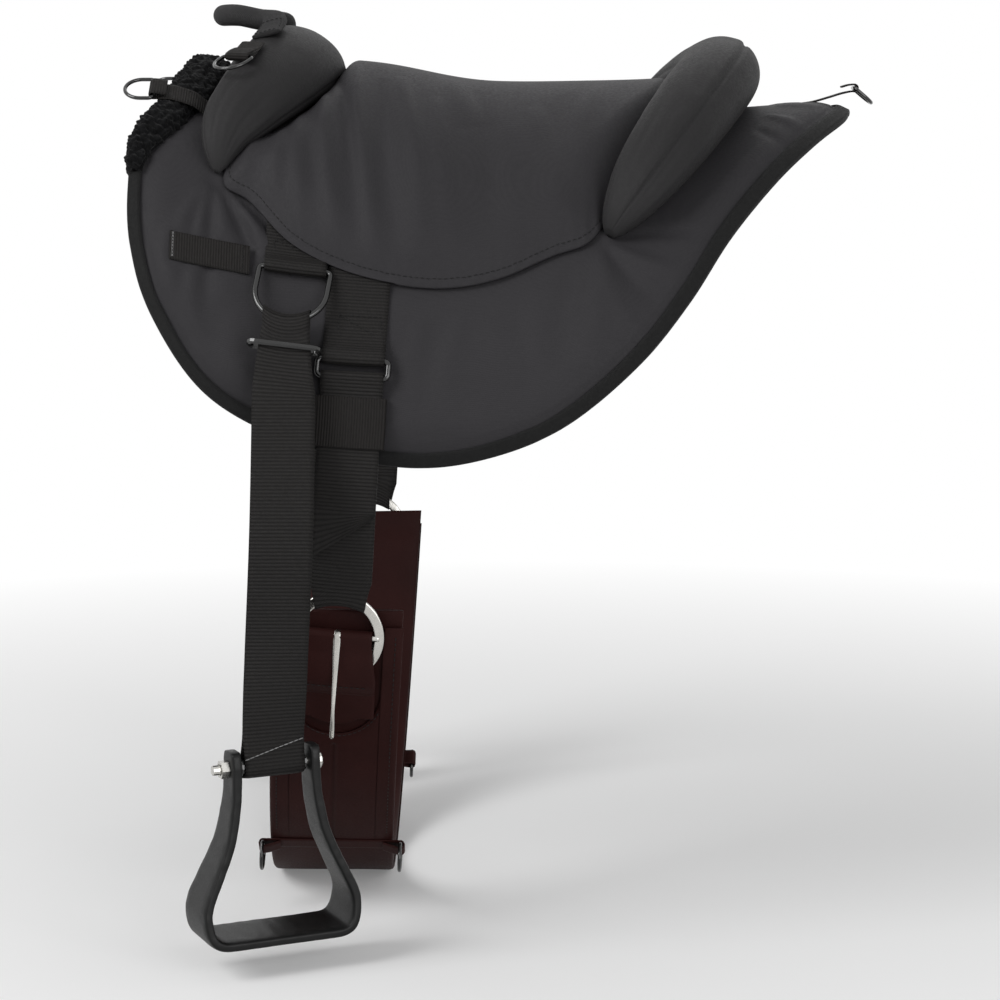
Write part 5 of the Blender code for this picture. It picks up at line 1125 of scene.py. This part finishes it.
# %% Girth cover
def cover_grid(columns=97, rows=340):
    """Column by column, the cover starts at the pocket's outline or at its own top edge."""
    start, deep = girth_turn(0.549), girth_turn(POCKET_DROP)
    across = np.linspace(-1, 1, columns)
    across = GIRTH_HALF * squared(across, 0.92)
    pocket = cut(1 - (across / POCKET_HALF) ** 2) ** 0.5
    end = np.where(np.abs(across) < POCKET_HALF, deep + pocket * POCKET_HALF / 0.300, start)
    share = np.linspace(0, 1, rows)[:, None]
    share = share - np.sin(share * 2 * math.pi) * 0.09
    turn = -(end[None] * (1 - share) + (2 * math.pi - end[None]) * share)
    edge = cut((GIRTH_HALF - np.abs(across)) / 0.006)
    crown = np.sqrt(1 - (1 - edge) ** 2)
    rim = cut(np.minimum(share, 1 - share) * 60)
    seam = bell(across / 0.0013) * cut(rim * 3 - 2)
    full = 0.45 + 0.55 * np.sin(rim * math.pi / 2)
    top = COVER_LOW + 0.0006 + 0.0024 * crown[None] * full - 0.0021 * seam
    p = girth_point(turn, across[None], 0.012 + 0 * turn)
    top = top + 0.0005 * clouds(p, 0.04, 41) * crown[None]
    under = np.full_like(top, COVER_LOW)
    under[:, [0, -1]] = COVER_LOW - 0.0005
    return girth_point(turn, across[None], top), girth_point(turn, across[None], under)


top, under = cover_grid()
loop = np.concatenate((top, under[:, ::-1]), axis=1)
uv = np.stack((lengths(loop, 1), lengths(loop, 0)), -1)
make("girth_shell", loop, sheet_faces(*loop.shape[:2]), uv, BROWN, "girth_cover")


def chape_line():
    """The chape's line of (drop, lift): up under the ring's bar, round it and down over the band."""
    wrap, under = 0.0042, RING_LIFT - 0.0042
    over = RING_LIFT + 0.0015 + RING_SAG + 0.0016 + 0.0010
    low, near, band = 0.637, RING_DROP + 0.006, RING_DROP + 0.0375
    flat = under + 0.0020 + 0.0004
    made = [[low + (near - low) * k / 5, under - 0.0005 * (1 - k / 5)] for k in range(6)]
    made += bend_round((RING_DROP, RING_LIFT), wrap, -90, -270)
    made += [[near + 0.006, RING_LIFT + wrap], [band - 0.016, over], [band + 0.0004, over],
             [band + 0.012, flat + 0.002], [band + 0.018, flat], [low, flat]]
    return made


@both_sides
def chape(side, flip):
    made = chape_line()
    wide = lambda run, drop: np.where(run < 0.078, 0.0275, 0.0275 + 0.0045 * cut((drop - 0.562) / 0.030))
    tip = lambda run: cut(1 - np.minimum(run, run.max() - run) / 0.006)
    bow = lambda run, across, line: -0.5 * across ** 2 / 0.032 * tip(run)
    grid = strap_sheet(made, girth_x, wide, columns=33, count=420, shift=bow)
    webbing("chape_" + side, grid * flip, BROWN, "girth_chape_" + side, thickness=0.0020)

# %% [markdown]
# ## Rings of round wire
# The D-rings hang where the frame has them, but here their wire is a true round tube bent along a bar,
# two small corners and a half round bow, so the light runs along it without facets.

# %% D-rings
def ring_line(half, length, corner):
    """Closed outline of (along, down): a bar, two quarter turns, and a half circle as the bow."""
    t = np.linspace(0, 1, 10)[:, None]
    bar = np.array([corner - half, 0.0]) * (1 - t) + np.array([half - corner, 0.0]) * t
    outline = np.vstack((bar[:-1], bend_round((half - corner, corner), corner, -90, 0, 12)[:-1],
                         bend_round((0, length - half), half, 0, 180, 60)[:-1],
                         bend_round((corner - half, corner), corner, 180, 270, 12)[:-1]))
    return evenly(outline, 150, closed=True)


def slide_line(wide, tall, corner):
    """Closed outline of a rectangle with round corners."""
    a, b = wide - corner, tall - corner
    quarter = np.array(bend_round((0, 0), corner, -90, 0, 14))
    parts = []
    for k, middle in enumerate(((a, -b), (a, b), (-a, b), (-a, -b))):
        c, q = math.cos(k * math.pi / 2), math.sin(k * math.pi / 2)
        parts.append((quarter @ np.array([[c, q], [-q, c]]) + middle)[:-1])
    return evenly(np.vstack(parts), 170, closed=True)


def wire(name, outline, frame, radius, flip, body=None):
    """Circles of the wire's radius carried round the outline, in the flat of a frame."""
    at, along, down = frame[:3]
    right, out, t = outward(outline, closed=True), unit(np.cross(down, along)), around(16)
    flat = outline[:, None] + right[:, None] * (radius * np.cos(t))[None, :, None]
    grid = at + along * flat[..., :1] + down * flat[..., 1:] + out * (radius * np.sin(t))[None, :, None]
    tube("wire_" + name, grid * flip, BLACK_METAL, name, body or name, ring=True)


def bent(frame, turn):
    """The frame (at, along, down, out) leaning outwards about its bar."""
    at, along, down, out = frame
    c, q = math.cos(turn), math.sin(turn)
    return at, along, down * c + out * q, out * c - down * q


WRAP_SMALL = 0.0016 + 0.0007 + WEBBING / 2


def small_ring(name, frame, half, length, flip):
    wire(name, ring_line(half, length, 0.004), frame, 0.0016, flip)


@both_sides
def flap_ring(side, flip):
    wire("flap_dring_" + side, ring_line(0.029, 0.050, 0.0035), (ring_at, ring_along, ring_down), 0.0024,
         flip)


@both_sides
def girth_slide(side, flip):
    frame = girth_frame(SLIDE_DROP + 0.007, SLIDE_LIFT)
    wire("girth_slide_" + side, slide_line(0.0285, 0.007, 0.0035), frame, 0.0024, flip, "pad")


print("rings of wire", [name for name in PIECES if name.startswith("wire_")])

# %% [markdown]
# Two small straps cross the girth near its lowest part and hold a D-ring at each edge. They are laid
# straight across and folded round both bars.

# %% Straps of the small girth rings
@both_sides
def girth_ring_strap(side, flip):
    """It lies across the girth, and each end folds round a bar and comes back on top."""
    lying = 0.0126 + 0.0004 + WEBBING / 2
    reach, bar = GIRTH_HALF + 2 * WRAP_SMALL, lying + WRAP_SMALL
    end = [[-reach + 0.015, lying + WEBBING + 0.0004], [-reach + 0.006, bar + 0.6 * WRAP_SMALL]]
    end += bend_round((-reach, bar), WRAP_SMALL, 90, 270)
    flat = [[-reach + 0.012, lying], [0, lying], [reach - 0.012, lying]]
    made = through(end + flat + mirrored(end), 240)
    at, along, down, out = girth_frame(RING_STRAP_DROP, lying)
    middle, turn = at[0], -girth_turn(RING_STRAP_DROP)
    x = middle + made[:, 0]
    y, z = section_point(x, np.full_like(x, turn), made[:, 1])
    grid = np.stack((x, y, z), -1)[:, None] + down * np.linspace(-1, 1, 9)[None, :, None] * 0.0078
    webbing("girth_ring_web_" + side, grid * flip, BROWN, "girth_dring_strap_" + side, slot="black_webbing")
    for end, x in (("front", middle - reach), ("rear", middle + reach)):
        y, z = section_point(np.array([x]), np.array([turn]), bar)
        ring = (np.array([x, y[0], z[0]]), down, out, along)
        small_ring("girth_dring_" + end + "_" + side, ring, 0.011, 0.020, flip)

# %% [markdown]
# The girth hangs from a flat nickel ring with a round bar across its middle. A long tongue is curled
# round the bar, lies over the fold of the chape and narrows to a neck above its round tip.

# %% Nickel ring and its tongue
RING_FRAME = girth_frame(RING_DROP, RING_LIFT)


@both_sides
def girth_ring(side, flip):
    """A circle whose section is a soft rectangle, and a bar that ends inside the band."""
    at, along, down, out = RING_FRAME
    turn = around(144)
    spoke = along * np.cos(turn)[:, None] + down * np.sin(turn)[:, None]
    t = around(24)
    wide = 0.0040 * squared(np.cos(t), 0.5)
    thick = 0.0015 * squared(np.sin(t), 0.5)
    grid = at + spoke[:, None] * (RING_RADIUS + wide)[None, :, None] + out * thick[None, :, None]
    tube("nickel_ring_" + side, grid * flip, NICKEL, "girth_ring_" + side, ring=True)
    place = np.linspace(-RING_RADIUS, RING_RADIUS, 40)
    circle = down * np.cos(t)[:, None] + out * np.sin(t)[:, None]
    bar = at + along * place[:, None, None] + 0.0025 * circle[None]
    tube("nickel_bar_" + side, bar * flip, NICKEL, "")


@both_sides
def tongue(side, flip):
    """The line curls round the bar, then runs down with a slight bow to a neck above the tip."""
    wrap, length = 0.0043, 0.084
    rest = max(0.1619, math.atan2(-RING_FRAME[3][2], -RING_FRAME[2][2]))
    at, along, down, out = bent(RING_FRAME, rest)
    curl = np.radians(np.linspace(-235, 0, 30))
    line = np.stack((np.sin(curl), np.cos(curl)), -1) * wrap
    way = np.linspace(0.04, 1, 70)
    bow = 0.0013 * np.sin(math.pi / 2 * cut(np.minimum((way - 0.3) / 0.4, (1 - way) / 0.3))) ** 2
    line = np.vstack((line, np.stack((way * length, wrap + bow), -1)))
    right = outward(line)
    run = run_of(line)
    left = run[-1] - run
    half = np.interp(run, (0.022, 0.050, 0.078, 0.092, 0.1), (0.0030, 0.0020, 0.0013, 0.0018, 0.0018))
    half = np.convolve(np.pad(half, 3, "edge"), np.full(7, 1 / 7), "valid")
    half = half * np.sqrt(1 - (1 - cut(left / 0.0025)) ** 2 * 0.96)
    thick = 0.0010 - 0.0003 * cut((run - 0.030) / 0.060)
    thick = thick * np.sqrt(1 - (1 - cut(left / 0.0012)) ** 2 * 0.9)
    t = around(24)
    a = squared(np.cos(t), 0.45)
    b = squared(np.sin(t), 0.6)
    flat = line[:, None] + right[:, None] * (thick[:, None] * b)[..., None]
    grid = at + along * (half[:, None] * a)[..., None] + down * flat[..., :1] + out * flat[..., 1:]
    tube("tongue_" + side, grid * flip, NICKEL, "ring_tongue_" + side, "ring_tongue_" + side)

# %% [markdown]
# ## Tabs and the grab handle
# Short tapes hold the small D-rings on the front roll, at the withers and at the tail. The handle starts
# as a flat patch on the roll, swells into a round webbing tube, and arches over to the other side.

# %% Tabs
def sewn_tab(kind, end, flip, points, frame, half, ring, lean=0.0):
    """A tape along some points, then half a turn round the bar of its small ring and a short way back.
    The frame holds the bar's place and the directions across the tape, along it and out of it."""
    bar, across, toward, out = frame
    t = np.radians(np.linspace(-90, 90, 11))[:, None]
    fold = bar + (toward * np.cos(t) + out * np.sin(t)) * WRAP_SMALL
    back = [fold[-1] - toward * 0.005 - out * 0.0005, fold[-1] - toward * 0.011 - out * 0.0022]
    made = through(np.vstack((points, fold, back)), 150)
    grid = made[:, None] + across * np.linspace(-1, 1, 9)[None, :, None] * half
    small_ring(kind + "_dring" + end, bent(frame, math.radians(lean)), *ring, flip)
    webbing("tab_" + kind + end, grid * flip, WEB_ACROSS, kind + "_tab" + end)


def roll_surface(roll, d, angle, off):
    a = roll.place(np.array([d]), np.array([angle]), np.array([off]))[0]
    b = roll.place(np.array([d]), np.array([angle]), np.array([off + 0.001]))[0]
    return a, unit(b - a)


@both_sides
def roll_tab(side, flip):
    angle = math.radians(118)
    spots = [roll_surface(FRONT, -(0.104 - 0.025 * s), angle, 0.0004 + WEBBING / 2)
             for s in (1.0, 0.7, 0.35, 0.0)]
    across = unit(roll_surface(FRONT, -0.104, angle - 0.2, 0)[0]
                  - roll_surface(FRONT, -0.104, angle + 0.2, 0)[0])
    toward = square_to(unit(spots[-1][0] - spots[-2][0]), across)
    out = unit(np.cross(toward, across))
    out = out * np.sign((out * spots[-1][1]).sum())
    frame = spots[-1][0] + out * WRAP_SMALL, across, toward, out
    sewn_tab("roll", "_" + side, flip, [s[0] for s in spots[:-1]], frame, 0.0125, (0.0156, 0.024), 8)


@both_sides
def front_tab(side, flip):
    spots = [on(-0.240 - 0.046 * a, -TAB_DROP, LYING + 0.0065 * b) for a, b in
             ((0.0, -0.24), (0.12, 0.1), (0.3, 0.8), (0.48, 1.0), (0.75, 0.95), (1.0, 0.4))]
    across = unit(on(-0.240, -TAB_DROP - 0.001, LYING) - on(-0.240, -TAB_DROP, LYING))
    toward = square_to(np.array([-1.0, 0, 0]), across)
    out = np.cross(toward, across)
    out = out * np.sign(out[2])
    frame = spots[-1] + toward * 0.003 + out * WRAP_SMALL, across, toward, out
    sewn_tab("front", "_" + side, flip, spots, frame, 0.0109, (0.014, 0.024))


spots = [on(HALF_LENGTH - 0.042 * a, 0.0, LYING + 0.004 * b - 0.0026 * max(0.0, 1 - 2.2 * b)) for a, b in
         ((1.0, 0), (0.7, 0.1), (0.4, 0.35), (0.15, 0.75), (-0.05, 1.0))]
rear = (spots[-1] + np.array([0.003, 0, WRAP_SMALL]),
        np.array([0, 1.0, 0]), np.array([1.0, 0, 0]), np.array([0, 0, 1.0]))
sewn_tab("rear", "", 1.0, spots, rear, 0.0078, (0.011, 0.020), -40)


@both_sides
def flap_keeper(side, flip):
    """A short tape sewn flat at both ends and standing a little off the flap in its middle."""
    x = np.linspace(-0.0325, 0.0325, 90)[:, None] + PATCH_X
    d = np.linspace(-1, 1, 15)[None, :] * 0.0125 - PATCH_DROP
    lift = 0.0189 + 0 * d + 0.0006 * np.cos((x - PATCH_X) / 0.0325 * math.pi / 2)
    webbing("keeper_flap_" + side, on(x, d, lift + 0 * d) * flip, WEB_ACROSS, "flap_keeper_" + side)


def handle_grid(rows=260):
    """Centre line over the roll; the section eases from a flat patch to a round tube of 18 mm."""
    foot = math.radians(108)
    spots = [roll_surface(FRONT, -d, foot, 0.002 + 0.0007) for d in (0.066, 0.042)]
    free = [[-0.172 - 0.066 * a, -0.042 * b, 0.096 * c]
            for a, b, c in ((0.45, 0.80, 0.955), (0.80, 0.50, 1.0))]
    line = [spots[0][0], spots[1][0]] + free
    line = line + [[-0.238, 0, 0.096]] + [[p[0], -p[1], p[2]] for p in reversed(line)]
    line = through(line, rows)
    run = unit(np.gradient(line, axis=0))
    up = np.zeros_like(line)
    up[0] = spots[0][1]
    for i in range(1, rows):
        side = np.cross(run[i], up[i - 1])
        up[i] = np.cross(side, run[i])
        up[i] /= np.linalg.norm(up[i])
    up[0] = up[1]
    side = unit(np.cross(run, up))
    share = eased(cut(from_ends(rows) / (rows * 5 / 22)))
    wide, tall = 0.013 + (0.009 - 0.013) * share, 0.002 + (0.009 - 0.002) * share
    middle = line + up * (tall - 0.002)[:, None]
    t = around(48)[None, :, None]
    power = (2 - 1.2 * (1 - share))[:, None, None] / 2
    c, s = squared(np.cos(t), power), squared(np.sin(t), power)
    return middle[:, None] + side[:, None] * wide[:, None, None] * c + up[:, None] * tall[:, None, None] * s


tube("handle", handle_grid(), BRAID, "grab_handle")
print("tabs and handle done;", len(PIECES), "soft pieces")

# %% [markdown]
# ## Stirrups
# A stirrup is one bent band of glass-filled plastic: narrow at the ears, wide at the tread, with every
# edge rounded. The band's middle line is a smooth curve and its section a soft rectangle that grows
# deeper on the way down. Small waves in the surface stand for the mottled skin of the moulding.

# %% Stirrup frame
TREAD_DROP = 0.137
STIRRUP_LINE = [(0.033 + 0.0295 * a, TREAD_DROP * b) for a, b in
                ((0, -0.10), (0, 0.06), (0.06, 0.22), (0.26, 0.42), (0.66, 0.62), (0.95, 0.76), (1, 0.85),
                 (0.90, 0.945), (0.64, 0.993), (0.1, 1.0))] + [(0.0, TREAD_DROP)]


@both_sides
def stirrup(side, flip):
    """Section: along the wall and across the band, both a cosine and sine to the power 0.3."""
    half = np.array(STIRRUP_LINE)
    line = through(np.vstack((half, half[-2::-1] * [-1, 1])), 420)
    step = unit(np.gradient(line, axis=0))
    right = np.stack((step[:, 1], -step[:, 0]), -1)
    share = cut(line[:, 1] / TREAD_DROP)
    deep_half = (0.025 + 0.032 * share ** 1.3) / 2
    ears = cut(from_ends(420) / 14)
    deep_half = deep_half * (0.62 + 0.38 * np.sqrt(1 - (1 - ears) ** 2))
    t = around(64)
    u = 0.00425 * squared(np.cos(t), 0.45)
    v = squared(np.sin(t), 0.30)
    axis = np.array([math.cos(STIRRUP_YAW), math.sin(STIRRUP_YAW), 0.0])
    deep = np.cross([0, 0, 1.0], axis)
    flat = line[:, None] + right[:, None] * u[None, :, None]
    grid = BOLT + axis * flat[..., :1] - np.array([0, 0, 1.0]) * flat[..., 1:]
    grid = grid + deep * (deep_half[:, None] * v)[..., None]
    grid = grid + across_normals(grid) * (0.00022 * clouds(grid, 0.006, 51) - 0.0001)[..., None]
    tube("frame_" + side, grid * flip, PLASTIC, "stirrup_frame_" + side, "stirrup_" + side)


print("stirrup frames", len(PIECES["frame_left"].data.polygons), "faces each")

# %% [markdown]
# ## Stitching
# Seams read as real when their stitches stand on the cloth. Each stitch is a short bead of thread, thick
# in its middle and sunk at both ends. One function lays a row of them along any line on a surface.

# %% Rows of stitches
def stitches(name, line, out, material=THREAD, length=0.0030, gap=0.0016, radius=0.00038, slant=0.0,
             body="pad"):
    """Beads along a line: at each place a tube of five small rings, its radius a half ellipse along it."""
    run = run_of(line)
    middles = np.arange(length / 2, run[-1] - length / 2, length + gap)
    u = np.linspace(-1, 1, 5)
    at = middles[:, None] + u * length / 2
    p = np.stack([np.interp(at, run, line[:, k]) for k in range(3)], -1)
    n = unit(np.stack([np.interp(at, run, out[:, k]) for k in range(3)], -1))
    forward = unit(np.gradient(p, axis=1))
    side = unit(np.cross(forward, n))
    p = p + side * (slant * u[None, :, None]) + n * (radius * (0.3 + 0.7 * (1 - u ** 2)))[None, :, None]
    t = around(6)
    fat = radius * np.sqrt(1 - 0.8 * u ** 2)
    grid = (p[:, :, None] + side[:, :, None] * (fat[:, None] * np.cos(t))[None, ..., None]
            + n[:, :, None] * (fat[:, None] * np.sin(t))[None, ..., None])
    one = quads(5, 6, False, True) + [list(range(6))[::-1], [24 + k for k in range(6)]]
    faces = [[v + 30 * k for v in face] for k in range(len(middles)) for face in one]
    return make(name, grid, faces, np.zeros((grid.size // 3, 2)), material, body=body)


def surface_row(name, xs, drops, top, flip, **values):
    """A row over the barrel, at one height or at the height that a function of place gives."""
    xs, drops = np.asarray(xs, float), -np.asarray(drops, float)
    lift = top(xs, drops) if callable(top) else top
    low, high = on(xs, drops, lift), on(xs, drops, lift + 0.001)
    return stitches(name, low * flip, unit(high - low) * flip, **values)


def keeper_stitches(side, flip):
    d = np.linspace(0.2465, 0.2695, 30)
    for end, x, thread in (("front", -0.2645, PALE_THREAD_AND_HIGHLIGHT), ("rear", -0.2075, THREAD)):
        for row, lean in (("b", -1), ("a", 1)):
            surface_row(f"stitch_keeper_{end}_{row}_{side}", x + 0 * d, d,
                        0.0196, flip, material=thread, length=0.0022, gap=0.0006,
                        slant=0.0009 * lean, radius=0.0003)


def seam_stitches(side, flip):
    inner = SEAT_HALF + (SEAT_MIDDLE - SEAT_HALF) * 0.022
    part = inner[(inner[:, 1] > 0.17)]
    surface_row("stitch_seat_" + side, part[:, 0], part[:, 1], seat_lift, flip, length=0.0034, gap=0.0014)


def box_stitches(side, flip):
    corners = np.array([(0, 0), (1, 0), (1, 1), (0, 1), (0, 0), (1, 1)], float)
    t = np.linspace(0, 5, 160)
    box = np.stack([np.interp(t, np.arange(6), corners[:, k]) for k in (0, 1)], -1)
    for name, x, d, wide, tall in (("hanger", HANGER_X, 0.236, 0.036, 0.014),
                                   ("billet", -0.112, 0.296, 0.034, 0.018)):
        surface_row("stitch_" + name + "_" + side, x + (box[:, 0] - 0.5) * wide, d + box[:, 1] * tall,
                    LYING + WEBBING / 2 + 0.0001, flip)


def girth_stitches(side, flip):
    """Two rows across the chape, a row round the pocket, and one along each edge of the girth."""
    t = np.linspace(math.radians(205), math.radians(335), 60)
    pocket = 0.0395 * np.cos(t), POCKET_DROP - 0.044 * np.sin(t) - 0.004
    rows = [("pocket", pocket[0], pocket[1], 0.0131)]
    rows += [("edge_" + end, side_at + 0 * t, np.linspace(0.556, 0.775, 60), 0.0130)
             for end, side_at in (("front", -0.0465), ("rear", 0.0465))]
    rows += [("chape_" + end, np.linspace(-0.024, 0.024, 60), d + 0 * t, RING_LIFT + 0.0042 + 0.0012)
             for end, d in (("upper", 0.590), ("lower", 0.598))]
    for name, across, drop, lift in rows:
        surface_row("stitch_girth_" + name + "_" + side, girth_x(drop) + across, drop,
                    lift, flip, gap=0.0015, radius=0.0004)


def strap_fold_highlight(side, flip):
    """A close pale row of beads slanting across the outer layer, 7 mm above the bolt in front and 20 mm
    behind: a painted highlight along the strap's fold where it spreads to go round the sleeve.
    """
    k = np.arange(13)
    at = (320 * (1 - (0.007 + 0.013 * k / 12) / TOTAL)).round().astype(int)
    out = across_normals(STRAP_GRID)[at, k]
    stitches("stitch_strap_foot_" + side, (STRAP_GRID[at, k] + out * WEBBING / 2) * flip, out * flip,
             material=PALE_THREAD_AND_HIGHLIGHT, length=0.0040, gap=0.0003, radius=0.00045, body="stirrup_strap_" + side)


# The pale row on each stirrup strap paints a highlight along its fold; the other rows are stitches.
for build in (strap_fold_highlight, girth_stitches, keeper_stitches, seam_stitches, box_stitches):
    both_sides(build)
grid = handle_grid()
for foot, rows in (("near", slice(3, 26)), ("far", slice(-26, -3))):
    part = grid[rows]
    ring = np.vstack((part[:, 6], part[-1, 6:19][1:], part[::-1, 18][1:], part[0, 6:19][::-1][1:]))
    middle = grid[rows].mean(axis=1)
    up = unit(part[:, 12] - middle)
    normal = np.vstack((up, np.repeat(up[-1:], 12, 0), up[::-1][1:], np.repeat(up[:1], 12, 0)))
    stitches("stitch_handle_" + foot, ring, normal, length=0.0028, gap=0.0014)
print("stitched pieces", sum(name.startswith("stitch_") for name in PIECES))

# %% [markdown]
# ## Metal and plastic
# The stirrup slides, bolts, nuts and sleeves stay as the nodes of the frame: their rounded edges are as
# fine as needed. They only get better materials in the slots they already have.

# %% Materials of the kept nodes
# These materials also paint highlights on the sharp edges of the kept nodes.
KEPT = {"black_metal": BLACK_METAL, "nickel": NICKEL, "black_plastic": PLASTIC}
kept = 0
for ob in bpy.data.objects:
    if ob.type != "MESH" or ob in PIECES:
        continue
    for place in ob.material_slots:
        name = place.material.name.split(".")[0] if place.material else ""
        if name in KEPT:
            place.material = KEPT[name]
            kept += 1
print("materials set on", kept, "kept nodes")

# %% [markdown]
# ## Stage
# A pale floor, a white background that only the camera and clear reflections see, and three soft lamps.

# %% Floor, world and lamps
def clear_rays(tree):
    """1 for rays from the camera, through clear things and off shiny ones, and 0 for other light."""
    seen, m = node(tree, "ShaderNodeLightPath").outputs, maths(tree)
    return m("MAXIMUM", m("MAXIMUM", seen["Is Camera Ray"], seen["Is Transmission Ray"]),
             seen["Is Glossy Ray"])


low, reach = float(cad_box[0][2]), 6.0
mesh = bpy.data.meshes.new("floor")
mesh.from_pydata([(-reach, -reach, low), (reach, -reach, low), (reach, reach, low), (-reach, reach, low)],
                 [], [(0, 1, 2, 3)])
pale = bpy.data.materials.new("pale_floor")
pale.use_nodes = True
mesh.materials.append(pale)
tree = pale.node_tree
shader = tree.nodes["Principled BSDF"]
set_sockets(tree, shader.inputs, {"Base Color": (0.88, 0.88, 0.88, 1), "Roughness": 0.9})
place = node(tree, "ShaderNodeTexCoord").outputs["Object"]
apart = node(tree, "ShaderNodeVectorMath", "LENGTH", i0=place).outputs["Value"]
far = node(tree, "ShaderNodeMapRange", i0=apart, i1=0.5, i2=1.7, i3=0.0, i4=1.0).outputs[0]
fade = maths(tree)("MULTIPLY", far, clear_rays(tree))
glow = node(tree, "ShaderNodeEmission", Color=(1, 1, 1, 1), Strength=1.0).outputs[0]
join = node(tree, "ShaderNodeMixShader", i0=fade, i1=shader.outputs[0], i2=glow)
set_sockets(tree, tree.nodes["Material Output"].inputs, {"Surface": join.outputs[0]})
floor = bpy.data.objects.new("floor", mesh)
bpy.context.scene.collection.objects.link(floor)

world = bpy.data.worlds.new("studio")
bpy.context.scene.world = world
world.use_nodes = True
tree = world.node_tree
tree.nodes.clear()
dim = node(tree, "ShaderNodeBackground", Color=(1, 1, 1, 1), Strength=0.30).outputs[0]
white = node(tree, "ShaderNodeBackground", Color=(1, 1, 1, 1), Strength=1.0).outputs[0]
mix = node(tree, "ShaderNodeMixShader", i0=clear_rays(tree), i1=dim, i2=white)
node(tree, "ShaderNodeOutputWorld", Surface=mix.outputs[0])


def lamp(name, place, aim, size, power):
    data = bpy.data.lights.new(name, "AREA")
    data.shape = "SQUARE"
    data.size = size
    data.energy = power
    ob = bpy.data.objects.new(name, data)
    ob.location = place
    ob.rotation_euler = (Vector(aim) - Vector(place)).to_track_quat("-Z", "Y").to_euler()
    bpy.context.scene.collection.objects.link(ob)


lamp("key", (-2.1, -1.3, 1.5), (0, 0, -0.25), 1.5, 54)
lamp("fill", (1.2, -2.3, 0.3), (0, 0, -0.35), 1.6, 28)
lamp("back", (0.5, 2.0, 1.8), (0, 0, -0.1), 1.4, 8)
print("stage ready")

# %% [markdown]
# ## Camera
# It looks at the near side from a little above, square to the length of the pad, as in the photograph.

# %% Camera
data = bpy.data.cameras.new("camera")
data.lens = 102.24
data.sensor_width = 36
camera = bpy.data.objects.new("camera", data)
camera.location = (0, -2.5, 0.06)
camera.rotation_euler = (math.radians(81.3), 0, 0)
bpy.context.scene.collection.objects.link(camera)
bpy.context.scene.camera = camera
bpy.context.scene.view_settings.view_transform = "Standard"
